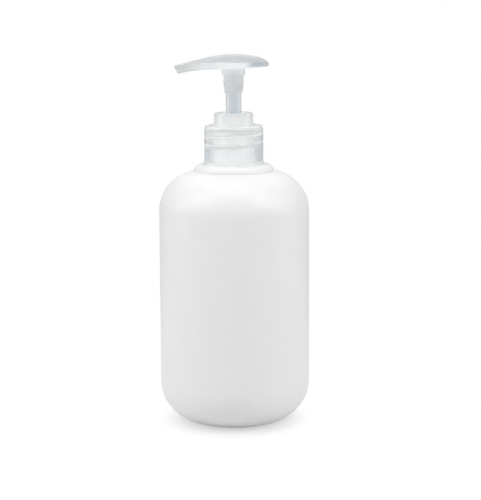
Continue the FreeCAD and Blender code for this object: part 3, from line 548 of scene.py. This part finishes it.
def soda_glass():
    """Soda-lime glass, ground and polished into a ball: clear, a hard bright spot."""
    material, tree = new_material("soda_lime_glass_polished")
    place = node(tree, "ShaderNodeTexCoord").outputs["Object"]
    streak = node(tree, "ShaderNodeTexNoise", {"Vector": place, "Scale": 1 / GLASS_STREAKS, "Detail": 1.0})
    rough = node(tree, "ShaderNodeMapRange", {"Value": streak.outputs["Fac"], "To Min": 0.02, "To Max": 0.06})
    glass = node(tree, "ShaderNodeBsdfPrincipled", {
        "Base Color": linear("E6F0EE"), "Roughness": rough.outputs["Result"], "IOR": 1.52,
        "Transmission Weight": 1.0})
    node(tree, "ShaderNodeOutputMaterial", {"Surface": glass.outputs["BSDF"]})
    return material


def spring_steel():
    """Stainless spring wire, drawn: bright, with fine marks along the wire."""
    material, tree = new_material("stainless_wire_drawn")
    place = node(tree, "ShaderNodeTexCoord").outputs["Object"]
    marks = node(tree, "ShaderNodeTexNoise", {"Vector": place, "Scale": 1 / WIRE_MARKS, "Detail": 2.0})
    rough = node(tree, "ShaderNodeMapRange", {"Value": marks.outputs["Fac"], "To Min": 0.22, "To Max": 0.34})
    steel = node(tree, "ShaderNodeBsdfPrincipled", {
        "Base Color": linear("C4C5C8"), "Metallic": 1.0, "Roughness": rough.outputs["Result"]})
    node(tree, "ShaderNodeOutputMaterial", {"Surface": steel.outputs["BSDF"]})
    return material


# Pieces

def bottle_profile():
    """The bottle's outside from the middle of its base to its mouth, and its inside back down."""
    dome_r = (FOOT_INNER_R ** 2 + BASE_DOME_RISE ** 2) / (2 * BASE_DOME_RISE)
    dome_end = math.degrees(math.asin(FOOT_INNER_R / dome_r))
    corner_start = math.degrees(math.asin(-CORNER_Z / BASE_CORNER_R))
    crease = math.degrees(math.acos((BEAD_R - SHOULDER_R) / SHOULDER_ARC_R))
    neck_root = BEAD_TOP - (NECK_R - NECK_BORE_R)
    outside = arc(0, BASE_DOME_RISE - dome_r, dome_r, 90, 90 - dome_end, 10)
    outside += arc(CORNER_R, CORNER_Z, BASE_CORNER_R, corner_start, 0, 24)
    outside += arc(SHOULDER_R, SHOULDER_Z, SHOULDER_ARC_R, 0, crease, 28)
    outside += arc(BEAD_R - BEAD_ROUND, BEAD_TOP - BEAD_ROUND, BEAD_ROUND, 0, 90, 12)
    outside += [(NECK_R, BEAD_TOP)]
    outside += arc(NECK_R - NECK_EDGE, FINISH_Z - NECK_EDGE, NECK_EDGE, 0, 90, 4)
    inside = [(NECK_BORE_R, FINISH_Z), (NECK_BORE_R, neck_root), (BEAD_R - BEAD_ROUND, neck_root)]
    inside += arc(SHOULDER_R, SHOULDER_Z, SHOULDER_ARC_R - BOTTLE_WALL, 90, 0, 10)
    inside += arc(CORNER_R, CORNER_Z, BASE_CORNER_R - BOTTLE_WALL, 0, corner_start, 10)
    inside += [(FOOT_INNER_R, BOTTLE_WALL), (0, BASE_DOME_RISE + BOTTLE_WALL)]
    return outside + inside


def make_bottle(material):
    bottle = turned("bottle_blown", bottle_profile(), closed=False)
    thread = ridge("neck_thread", NECK_R - ROOT_OVERLAP, NECK_THREAD_R,
                   NECK_THREAD_Z - THREAD_PITCH * THREAD_RUN_IN, THREAD_ROOT_WIDTH, THREAD_CREST_WIDTH,
                   THREAD_PITCH, NECK_THREAD_TURNS + 2 * THREAD_RUN_IN, -2 * math.pi * THREAD_RUN_IN)
    cut_or_join(bottle, thread, "UNION")
    resharpen(bottle)
    dress(bottle, material, "bottle", "bottle")


def closure_sector():
    """One rib's share of the closure, as wide as the ribs are spaced."""
    width = 2 * math.pi / RIB_COUNT
    across = [(width * i / RIB_STEPS, (1 - math.cos(2 * math.pi * i / RIB_STEPS)) / 2)
              for i in range(RIB_STEPS + 1)]
    rib_top = CLOSURE_TOP - RIB_TOP_MARGIN
    lip_round_r = CLOSURE_LIP_R - CLOSURE_LIP_EDGE
    # Each point has its radius, its height, and whether the ribs stand on it.
    profile = [(CLOSURE_INNER_R, CLOSURE_Z, 0), (lip_round_r, CLOSURE_Z, 0),
               (CLOSURE_LIP_R, CLOSURE_Z + CLOSURE_LIP_EDGE, 0),
               (CLOSURE_LIP_R, CLOSURE_LIP_TOP - CLOSURE_LIP_EDGE, 0),
               (lip_round_r, CLOSURE_LIP_TOP, 0), (CLOSURE_R, CLOSURE_LIP_TOP, 1),
               (CLOSURE_R, rib_top - RIB_HEIGHT, 1), (CLOSURE_R, rib_top, 0)]
    profile += [(r, z, 0) for r, z in arc(CLOSURE_R - CLOSURE_ROUND, CLOSURE_TOP - CLOSURE_ROUND,
                                          CLOSURE_ROUND, 0, 90, 6)]
    profile += [(CLOSURE_HOLE_R, CLOSURE_TOP, 0), (CLOSURE_HOLE_R, CLOSURE_TOP - CLOSURE_TOP_WALL, 0),
                (CLOSURE_INNER_R, CLOSURE_TOP - CLOSURE_TOP_WALL, 0)]
    points = []
    for radius, height, ribbed in profile:
        for angle, share in across:
            out = radius + ribbed * share * RIB_HEIGHT
            points.append((out * math.cos(angle), out * math.sin(angle), height))
    return new_object("closure_ribbed", points, grid_faces(len(profile), len(across), True, False))


def rib_repeat_tree(material):
    """Geometry nodes that set a sector round the bottle's axis and merge its seams."""
    tree = bpy.data.node_groups.new("ribs_round_closure", "GeometryNodeTree")
    tree.interface.new_socket("Sector", in_out="INPUT", socket_type="NodeSocketGeometry")
    count = tree.interface.new_socket("Rib count", in_out="INPUT", socket_type="NodeSocketInt")
    seam = tree.interface.new_socket("Seam", in_out="INPUT", socket_type="NodeSocketFloat")
    tree.interface.new_socket("Closure", in_out="OUTPUT", socket_type="NodeSocketGeometry")
    given = node(tree, "NodeGroupInput").outputs
    places = node(tree, "GeometryNodeMeshLine", {"Count": given["Rib count"], "Offset": (0, 0, 0)})
    number = node(tree, "GeometryNodeInputIndex")
    step = node(tree, "ShaderNodeMath", {0: 2 * math.pi, 1: given["Rib count"]}, operation="DIVIDE")
    turn = node(tree, "ShaderNodeMath", {0: number.outputs["Index"], 1: step.outputs["Value"]},
                operation="MULTIPLY")
    about_axis = node(tree, "ShaderNodeCombineXYZ", {"Z": turn.outputs["Value"]})
    copies = node(tree, "GeometryNodeInstanceOnPoints", {
        "Points": places.outputs["Mesh"], "Instance": given["Sector"],
        "Rotation": about_axis.outputs["Vector"]})
    real = node(tree, "GeometryNodeRealizeInstances", {"Geometry": copies.outputs["Instances"]})
    merged = node(tree, "GeometryNodeMergeByDistance", {"Geometry": real.outputs["Geometry"],
                                                        "Distance": given["Seam"]})
    painted = node(tree, "GeometryNodeSetMaterial", {"Geometry": merged.outputs["Geometry"],
                                                     "Material": material})
    node(tree, "NodeGroupOutput", {"Closure": painted.outputs["Geometry"]})
    return tree, count.identifier, seam.identifier


def make_closure(material):
    closure = closure_sector()
    tree, count, seam = rib_repeat_tree(material)
    ribs = closure.modifiers.new("ribs", "NODES")
    ribs.node_group = tree
    ribs[count] = RIB_COUNT
    ribs[seam] = SEAM_MERGE
    settle(closure, ribs)
    thread = ridge("closure_thread", CLOSURE_INNER_R + ROOT_OVERLAP, CLOSURE_THREAD_R, CLOSURE_THREAD_Z,
                   CLOSURE_THREAD_ROOT, CLOSURE_THREAD_CREST, THREAD_PITCH, CLOSURE_THREAD_TURNS)
    cut_or_join(closure, thread, "UNION")
    resharpen(closure)
    dress(closure, material, "closure", "closure")


def add_lock_thread(made, root_r, crest_r, low):
    """Joins the starts of the lock thread onto a piece."""
    for start in range(LOCK_STARTS):
        thread = ridge("lock_thread", root_r, crest_r, low, LOCK_ROOT_WIDTH, LOCK_CREST_WIDTH, LOCK_LEAD,
                       LOCK_LENGTH / LOCK_LEAD, math.pi * 2 * start / LOCK_STARTS)
        cut_or_join(made, thread, "UNION")


def make_lock_ring(material):
    under_top = RING_TOP - RING_WALL
    profile = [(RING_R, RING_Z)]
    profile += arc(RING_TOP_R - RING_ROUND, RING_TOP - RING_ROUND, RING_ROUND, 0, 90, 6)
    profile += [(LOCK_ROOT_R + MOUTH_CHAMFER, RING_TOP), (LOCK_ROOT_R, RING_TOP - MOUTH_CHAMFER),
                (LOCK_ROOT_R, GUIDE_TOP + GUIDE_CONE), (GUIDE_R, GUIDE_TOP), (GUIDE_R, SKIRT_Z),
                (SKIRT_R, SKIRT_Z), (SKIRT_R, under_top), (RING_R - RING_WALL, under_top),
                (RING_R - RING_WALL, RING_Z)]
    ring = turned("lock_ring_moulded", profile)
    low = RING_TOP - MOUTH_CHAMFER - LOCK_ROOT_WIDTH / 2 - LOCK_LENGTH
    add_lock_thread(ring, LOCK_ROOT_R + ROOT_OVERLAP, LOCK_CREST_R, low)
    resharpen(ring)
    dress(ring, material, "pump_body", "lock_ring")


def make_stem(material):
    profile = [(STEM_BORE_R, STEM_Z), (STEM_R - STEM_EDGE, STEM_Z), (STEM_R, STEM_Z + STEM_EDGE),
               (STEM_R, STEM_TOP - STEM_EDGE), (STEM_R - STEM_EDGE, STEM_TOP), (STEM_BORE_R, STEM_TOP)]
    stem = turned("stem_tube", profile, SMALL_TURN_STEPS)
    dress(stem, material, "plunger", "stem")


# The head's outline from above: a swell of two arcs behind the tip, then a flank and a round heel
PLAN_TIP_X = -(SPOUT_REACH + SPOUT_SLANT)
SWELL_RUN = (WIDEST_X - PLAN_TIP_X) / 2
SWELL_RISE = (HEAD_HALF - TIP_HALF) / 2
SWELL_R = (SWELL_RUN ** 2 + SWELL_RISE ** 2) / (2 * SWELL_RISE)
HEEL_CENTRE_X = HEEL_REACH - HEEL_PLAN_R
HEEL_RUN = HEEL_CENTRE_X - WIDEST_X
FLANK_R = (HEEL_RUN ** 2 + HEAD_HALF ** 2 - HEEL_PLAN_R ** 2) / (2 * (HEAD_HALF - HEEL_PLAN_R))


def plan_half(x, inset=0.0):
    """Half the head's width seen from above, or half that of an outline set in from it."""
    if x < WIDEST_X - SWELL_RUN:
        return TIP_HALF + SWELL_R - math.sqrt(SWELL_R ** 2 - (x - PLAN_TIP_X) ** 2) - inset
    if x < WIDEST_X:
        return HEAD_HALF - SWELL_R + math.sqrt(SWELL_R ** 2 - (x - WIDEST_X) ** 2) - inset
    small_r = HEEL_PLAN_R - inset
    meet_x = HEEL_CENTRE_X + HEEL_RUN * small_r / (FLANK_R - HEEL_PLAN_R)
    if x < meet_x:
        return HEAD_HALF - FLANK_R + math.sqrt((FLANK_R - inset) ** 2 - (x - WIDEST_X) ** 2)
    return math.sqrt(max(small_r ** 2 - (x - HEEL_CENTRE_X) ** 2, 0.0))


def crown_line(x):
    """The height of the head's crown along its middle."""
    crown = CROWN_Z - CROWN_R
    if x < SPOUT_LINE_X:
        fall = math.sqrt(CROWN_R ** 2 - SPOUT_LINE_X ** 2)
        return crown + fall - (x - SPOUT_LINE_X) * SPOUT_LINE_X / fall
    if x < HEEL_ROUND_X:
        return crown + math.sqrt(CROWN_R ** 2 - x ** 2)
    share = HEEL_ROUND_R / CROWN_R
    edge = math.sqrt(CROWN_R ** 2 - HEEL_ROUND_X ** 2)
    out = x - HEEL_ROUND_X * (1 - share)
    return crown + edge * (1 - share) + math.sqrt(HEEL_ROUND_R ** 2 - out ** 2)


def underside(x):
    """The height of the head's lower face along its middle."""
    away = x - SPOUT_BEND_X
    if x > SPOUT_BEND_X:
        return UNDERSIDE_Z + HEEL_RISE_R - math.sqrt(HEEL_RISE_R ** 2 - away ** 2)
    return UNDERSIDE_Z - SPOUT_BEND_R + math.sqrt(SPOUT_BEND_R ** 2 - away ** 2)


def nose_rounding(x):
    """How far the head's faces draw together at the very end of its heel."""
    along = min(max(x - (HEEL_REACH - NOSE_ROUND), 0.0), NOSE_ROUND)
    return NOSE_ROUND - math.sqrt(NOSE_ROUND ** 2 - along ** 2)


def head_section(x):
    """A section across the head: round lower edges, upright sides, round rims and the domed crown."""
    slant_share = min(max((SLANT_START_X - x) / (SPOUT_REACH + SLANT_START_X), 0.0), 1.0)
    shear = SPOUT_SLANT * slant_share ** 2 * (3 - 2 * slant_share)
    low_x = x + shear
    half = max(plan_half((x + low_x) / 2), NOSE_HALF)
    axis_z = CROWN_Z - CROWN_CROSS_R
    dome_r = crown_line(x) - nose_rounding(x) - axis_z
    low = underside(low_x) + nose_rounding(x)
    rim = min(RIM_ROUND, half * MOST_ROUND_SHARE)
    edge = min(UNDER_ROUND, half * MOST_ROUND_SHARE)
    rim_z = axis_z + math.sqrt((dome_r - rim) ** 2 - (half - rim) ** 2)
    lean = math.degrees(math.atan2(rim_z - axis_z, half - rim))
    right = [(0.0, low), (half * FLAT_SHARE, low)]
    right += arc(half - edge, low + edge, edge, -90, 0, 4)
    right += arc(half - rim, rim_z, rim, 0, lean, 8)
    right += arc(0, axis_z, dome_r, lean, 90, 14)[1:]
    left = [(-y, z) for y, z in reversed(right[1:-1])]
    high = axis_z + dome_r
    return [(low_x + (x - low_x) * (z - low) / (high - low), y, z) for y, z in right + left]


def channel_height(x):
    """The height of the spout's channel, which falls from the riser to the tip."""
    middle = SPOUT_REACH - SPOUT_SLANT / 2
    return crown_line(-SPOUT_REACH) - CHANNEL_TIP_DROP + CHANNEL_RISE * (middle + x)


def spout_channel():
    """The round way from the riser out through the spout's tip."""
    steps = 48
    points = []
    for x in (-SPOUT_REACH - CHANNEL_PAST, CHANNEL_R / 3):
        for step in range(steps):
            angle = 2 * math.pi * step / steps
            points.append((x, CHANNEL_R * math.cos(angle), channel_height(x) + CHANNEL_R * math.sin(angle)))
    return new_object("spout_channel", points, capped_faces(2, steps))


def upright_prism(name, outline, low, high):
    points = [(x, y, z) for z in (low, high) for x, y in outline]
    return new_object(name, points, capped_faces(2, len(outline)))


def head_hollow():
    """The hollow under the head, one wall inside its heel."""
    end_x = HEEL_REACH - HEAD_WALL
    steps = 40
    reach = [WIDEST_X + (end_x - WIDEST_X) * math.sin(math.pi / 2 * i / steps) for i in range(steps + 1)]
    front_half = HEAD_HALF - SWELL_RISE - HEAD_WALL
    side = [(HOLLOW_FRONT, front_half)] + [(x, plan_half(x, HEAD_WALL)) for x in reach[:-1]]
    outline = [(x, -y) for x, y in side] + [(end_x, 0.0)] + list(reversed(side))
    return upright_prism("head_hollow", outline, UNDERSIDE_Z - CUT_PAST, UNDERSIDE_Z + HOLLOW_DEPTH)


def channel_web(high):
    """The web that carries the spout's channel across the hollow."""
    back = HOLLOW_FRONT - HEAD_WALL / 2
    outline = [(back, -WEB_HALF), (0.0, -WEB_HALF), (0.0, WEB_HALF), (back, WEB_HALF)]
    return upright_prism("channel_web", outline, UNDERSIDE_Z, high)


def plug_and_boss(high):
    profile = [(0, PLUG_Z), (PLUG_END_R, PLUG_Z), (PLUG_R, PLUG_Z + PLUG_END_TAPER), (PLUG_R, BOSS_Z),
               (BOSS_R - BOSS_EDGE, BOSS_Z), (BOSS_R, BOSS_Z + BOSS_EDGE), (BOSS_R, high), (0, high)]
    return turned("plug", profile, SMALL_TURN_STEPS, closed=False)


def stem_socket():
    """The stem's socket in the plug, and the riser above it."""
    socket_r = STEM_R + STEM_FIT
    low = PLUG_Z - CUT_PAST
    high = channel_height(0)
    profile = [(0, low), (socket_r, low), (socket_r, STEM_TOP), (CHANNEL_R, STEM_TOP), (CHANNEL_R, high),
               (0, high)]
    return turned("socket", profile, SMALL_TURN_STEPS, closed=False)


def make_head(material):
    spout_steps = 72
    heel_steps = 28
    places = [-SPOUT_REACH + (HEEL_CENTRE_X + SPOUT_REACH) * i / spout_steps for i in range(spout_steps)]
    places += [HEEL_CENTRE_X + HEEL_PLAN_R * math.sin(math.pi / 2 * i / heel_steps)
               for i in range(heel_steps + 1)]
    sections = [head_section(x) for x in places]
    points = [point for section in sections for point in section]
    head = new_object("pump_head", points, capped_faces(len(sections), len(sections[0])))
    inside_top = UNDERSIDE_Z + HOLLOW_DEPTH + HEAD_WALL / 2
    cut_or_join(head, head_hollow(), "DIFFERENCE")
    cut_or_join(head, channel_web(inside_top), "UNION")
    cut_or_join(head, plug_and_boss(inside_top), "UNION")
    cut_or_join(head, stem_socket(), "DIFFERENCE")
    cut_or_join(head, spout_channel(), "DIFFERENCE")
    low = BOSS_Z - LOCK_MARGIN - LOCK_LENGTH - LOCK_ROOT_WIDTH / 2
    add_lock_thread(head, PLUG_R - ROOT_OVERLAP, PLUG_R + LOCK_HEIGHT, low)
    resharpen(head)
    dress(head, material, "plunger", "actuator")


def make_return_spring(material):
    """The return spring: one wire, closer wound at its ends, drawn as long as the imported spring; the real
    one shortens with the stroke.
    """
    low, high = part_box("return_spring")
    bottom = low.z / MM + SPRING_WIRE_R
    rise = (high.z - low.z) / MM - 2 * SPRING_WIRE_R
    steps = SPRING_TURNS * SPRING_TURN_STEPS
    points = []
    for step in range(steps + 1):
        share = step / steps
        angle = 2 * math.pi * SPRING_TURNS * share
        height = bottom + rise * (share - SPRING_CLOSING * math.sin(2 * math.pi * share) / (2 * math.pi))
        for side in range(WIRE_SIDES):
            lean = 2 * math.pi * side / WIRE_SIDES
            out = SPRING_COIL_R + SPRING_WIRE_R * math.cos(lean)
            points.append((out * math.cos(angle), out * math.sin(angle),
                           height + SPRING_WIRE_R * math.sin(lean)))
    spring = new_object("return_spring_coil", points, capped_faces(steps + 1, WIRE_SIDES))
    dress(spring, material, "spring", "return_spring")
    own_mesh(spring)


# Finishes, and the pieces that wear them

closure_pp = natural_pp("natural_pp_closure", tone="F8F8F7", roughness=0.25, clear=closure_clearness,
                        density=75.0, sheen=0.3)
ring_pp = natural_pp("natural_pp_ring", tone="F7F7F6", roughness=0.3, clear=0.55, density=45.0)
stem_pp = natural_pp("natural_pp_stem", tone="E4E7E9", roughness=0.15, clear=0.75, density=30.0)
head_pp = natural_pp("natural_pp_head", tone=head_tone, roughness=0.35, clear=head_clearness,
                     density=15.0, gloss=0.1)
inner_pp = natural_pp("natural_pp_inner", tone="F4F4F4", roughness=0.25, clear=0.7, density=30.0)
tube_pe = natural_pp("natural_pe_tube", tone="F2F4F2", roughness=0.3, clear=0.6, density=40.0)
piston_pe = plain_plastic("white_pe_piston", light="F2F2EE", dark="E6E6E0", roughness=0.45, spacing=0.002)
gasket_foam = plain_plastic("pe_foam_gasket", light="F4F4F1", dark="DEDEDA", roughness=0.7, spacing=0.0004)
make_bottle(white_hdpe())
make_closure(closure_pp)
make_lock_ring(ring_pp)
make_stem(stem_pp)
make_head(head_pp)
make_return_spring(spring_steel())

INNER_FINISHES = {
    "pump_housing": inner_pp,
    "poppet": inner_pp,
    "ball_cage": inner_pp,
    "dip_tube": tube_pe,
    "piston": piston_pe,
    "neck_gasket": gasket_foam,
    "inlet_ball": soda_glass(),
}
for name, finish in INNER_FINISHES.items():
    nodes[name].data.materials.clear()
    nodes[name].data.materials.append(finish)


# Floor, light and camera, in metres

FLOOR_HALF = 3.0
FLOOR_LIFT = 0.53
FLOOR_PAPER = "939393"
FLOOR_BOUNCE = "E6E6E6"

# The shadow fades out between two distances, and is narrower across the view than along it.
SHADOW_REACH = 0.024
SHADOW_END = 0.05
SHADOW_SQUEEZE = (1.2, 1.0, 1.0)

CARD_HALF = 1.0
CARD_BACK = 0.25
CARD_HEIGHT = 0.3
CARD_GREY = 0.6

AMBIENT = 0.1
AMBIENT_THROUGH_PP = 1.2
DIM_ROOM = "94A6B8"
ROOM_BEHIND_PP = "70889E"

# Light's bounces are counted in whole numbers, so a half parts one count from the next.
ONE_BOUNCE = 0.5
THREE_WALLS = 2.5

# Each lamp's name, azimuth and elevation in degrees, distance and size in metres, and power in watts.
LAMPS = (
    ("softbox_left", -62, 38, 1.2, (0.6, 0.9), 4.9),
    ("softbox_right", 56, 38, 1.2, (0.6, 0.9), 5.2),
    ("overhead", 0, 85, 1.3, (1.0, 1.0), 5.6),
    ("front_fill", 0, 20, 1.6, (1.0, 1.0), 2.6),
    ("side_left", -85, 12, 1.3, (0.6, 0.9), 3.0),
    ("side_right", 85, 12, 1.3, (0.6, 0.9), 2.2),
    ("back_fill", 180, 40, 1.3, (1.4, 0.9), 3.0),
)
LAMP_AIM = Vector((0.0, 0.0, 0.1))

# The camera's place, its turns in degrees, and its focal length in pixels of a picture.
CAMERA_AT = (0.0, -0.950, 0.2365)
CAMERA_PITCH = 8.79
CAMERA_YAW = 0.193
CAMERA_ROLL = -0.277
FOCAL_PIXELS = 1841.0
PICTURE_PIXELS = 500.0
SENSOR_WIDTH = 36.0


def stage_sheet(name, finish, corners):
    """A flat sheet beside the part, in a material that is still empty."""
    mesh = bpy.data.meshes.new(name)
    mesh.from_pydata(corners, [], [(0, 1, 2, 3)])
    sheet = bpy.data.objects.new(name, mesh)
    bpy.context.scene.collection.objects.link(sheet)
    mesh.materials.append(new_material(finish)[0])
    return sheet


def make_floor():
    """A white paper floor that takes the bottle's shadow, and is plain white further out."""
    floor = stage_sheet("floor", "white_paper_floor", [
        (-FLOOR_HALF, -FLOOR_HALF, 0), (FLOOR_HALF, -FLOOR_HALF, 0), (FLOOR_HALF, FLOOR_HALF, 0),
        (-FLOOR_HALF, FLOOR_HALF, 0)])
    tree = floor.active_material.node_tree
    path = node(tree, "ShaderNodeLightPath").outputs
    straight = node(tree, "ShaderNodeMath", {0: path["Is Camera Ray"], 1: path["Is Transmission Ray"]},
                    operation="MAXIMUM")
    seen = node(tree, "ShaderNodeMath", {0: straight.outputs["Value"], 1: path["Is Glossy Ray"]},
                operation="MAXIMUM")
    place = node(tree, "ShaderNodeTexCoord").outputs["Object"]
    squeezed = node(tree, "ShaderNodeVectorMath", {0: place, 1: SHADOW_SQUEEZE}, operation="MULTIPLY")
    away = node(tree, "ShaderNodeVectorMath", {0: squeezed.outputs["Vector"]}, operation="LENGTH")
    far = node(tree, "ShaderNodeMapRange", {"Value": away.outputs["Value"], "From Min": SHADOW_REACH,
                                            "From Max": SHADOW_END}, interpolation_type="SMOOTHSTEP")
    plain = node(tree, "ShaderNodeMath", {0: far.outputs["Result"], 1: seen.outputs["Value"]},
                 operation="MULTIPLY")
    tone = node(tree, "ShaderNodeMix", {"Factor": path["Is Diffuse Ray"], "A": linear(FLOOR_PAPER),
                                        "B": linear(FLOOR_BOUNCE)}, data_type="RGBA")
    paper = node(tree, "ShaderNodeBsdfDiffuse", {"Color": tone.outputs["Result"]})
    lift = node(tree, "ShaderNodeMath", {0: seen.outputs["Value"], 1: FLOOR_LIFT}, operation="MULTIPLY")
    glow = node(tree, "ShaderNodeEmission", {"Strength": lift.outputs["Value"]})
    near = node(tree, "ShaderNodeAddShader", {0: paper.outputs["BSDF"], 1: glow.outputs["Emission"]})
    white = node(tree, "ShaderNodeEmission", {"Strength": 1.0})
    whole = node(tree, "ShaderNodeMixShader", {0: plain.outputs["Value"], 1: near.outputs["Shader"],
                                               2: white.outputs["Emission"]})
    node(tree, "ShaderNodeOutputMaterial", {"Surface": whole.outputs["Shader"]})


def make_card():
    """A grey card behind the bottle that only reflections show, which draws the bottle's outline."""
    card = stage_sheet("card", "grey_card", [
        (-CARD_HALF, CARD_BACK, 0), (CARD_HALF, CARD_BACK, 0), (CARD_HALF, CARD_BACK, CARD_HEIGHT),
        (-CARD_HALF, CARD_BACK, CARD_HEIGHT)])
    tree = card.active_material.node_tree
    grey = node(tree, "ShaderNodeEmission", {"Strength": CARD_GREY})
    node(tree, "ShaderNodeOutputMaterial", {"Surface": grey.outputs["Emission"]})
    card.active_material.cycles.emission_sampling = "NONE"
    card.visible_camera = False
    card.visible_diffuse = False
    card.visible_transmission = False
    card.visible_volume_scatter = False
    card.visible_shadow = False


def make_world():
    """A white room to look at, dimmer where it only lights, and dim and blue deep inside clear plastic."""
    world = bpy.data.worlds.new("white_room")
    bpy.context.scene.world = world
    world.use_nodes = True
    tree = world.node_tree
    tree.nodes.clear()
    path = node(tree, "ShaderNodeLightPath").outputs
    bounced = node(tree, "ShaderNodeMath", {0: path["Glossy Depth"], 1: path["Transmission Depth"]},
                   operation="MULTIPLY")
    inside = node(tree, "ShaderNodeMath", {0: bounced.outputs["Value"], 1: ONE_BOUNCE},
                  operation="GREATER_THAN")
    behind = node(tree, "ShaderNodeMath", {0: path["Transmission Depth"], 1: THREE_WALLS},
                  operation="GREATER_THAN")
    lights = node(tree, "ShaderNodeMath", {0: path["Diffuse Depth"], 1: ONE_BOUNCE}, operation="GREATER_THAN")
    through = node(tree, "ShaderNodeMapRange", {"Value": path["Is Transmission Ray"], "To Min": AMBIENT,
                                                "To Max": AMBIENT_THROUGH_PP})
    light = node(tree, "ShaderNodeBackground", {"Color": linear("FFFFFF"),
                                                "Strength": through.outputs["Result"]})
    white = node(tree, "ShaderNodeBackground", {"Color": linear("FFFFFF"), "Strength": 1.0})
    dim_tone = node(tree, "ShaderNodeMix", {"Factor": inside.outputs["Value"], "A": linear(ROOM_BEHIND_PP),
                                            "B": linear(DIM_ROOM)}, data_type="RGBA")
    dim = node(tree, "ShaderNodeBackground", {"Color": dim_tone.outputs["Result"], "Strength": 1.0})
    deep = node(tree, "ShaderNodeMath", {0: inside.outputs["Value"], 1: behind.outputs["Value"]},
                operation="MAXIMUM")
    shown = node(tree, "ShaderNodeMixShader", {0: deep.outputs["Value"], 1: white.outputs["Background"],
                                               2: dim.outputs["Background"]})
    room = node(tree, "ShaderNodeMixShader", {0: lights.outputs["Value"], 1: shown.outputs["Shader"],
                                              2: light.outputs["Background"]})
    node(tree, "ShaderNodeOutputWorld", {"Surface": room.outputs["Shader"]})


def make_lamp(name, azimuth, elevation, distance, size, power):
    """A softbox turned to the bottle's middle, at an azimuth to the right of the camera's side."""
    turn = math.radians(azimuth)
    rise = math.radians(elevation)
    way = Vector((math.sin(turn) * math.cos(rise), -math.cos(turn) * math.cos(rise), math.sin(rise)))
    data = bpy.data.lights.new(name, "AREA")
    data.shape = "RECTANGLE"
    data.size, data.size_y = size
    data.energy = power
    lamp = bpy.data.objects.new(name, data)
    lamp.location = LAMP_AIM + way * distance
    lamp.rotation_euler = (-way).to_track_quat("-Z", "Y").to_euler()
    bpy.context.scene.collection.objects.link(lamp)


def make_camera():
    """The photograph's view: from a little above the bottle's top, looking slightly down."""
    pitch = math.radians(CAMERA_PITCH)
    yaw = math.radians(CAMERA_YAW)
    roll = math.radians(CAMERA_ROLL)
    forward = Vector((math.sin(yaw) * math.cos(pitch), math.cos(yaw) * math.cos(pitch), -math.sin(pitch)))
    right = Vector((math.cos(yaw), -math.sin(yaw), 0))
    up = right.cross(forward)
    rolled_right = right * math.cos(roll) + up * math.sin(roll)
    rolled_up = up * math.cos(roll) - right * math.sin(roll)
    turn = Matrix((rolled_right, rolled_up, -forward)).transposed()
    data = bpy.data.cameras.new("camera")
    data.sensor_width = SENSOR_WIDTH
    data.lens = FOCAL_PIXELS * SENSOR_WIDTH / PICTURE_PIXELS
    camera = bpy.data.objects.new("camera", data)
    camera.matrix_world = Matrix.Translation(CAMERA_AT) @ turn.to_4x4()
    bpy.context.scene.collection.objects.link(camera)
    bpy.context.scene.camera = camera


make_floor()
make_card()
make_world()
for lamp in LAMPS:
    make_lamp(*lamp)
make_camera()
bpy.context.scene.view_settings.view_transform = "Standard"
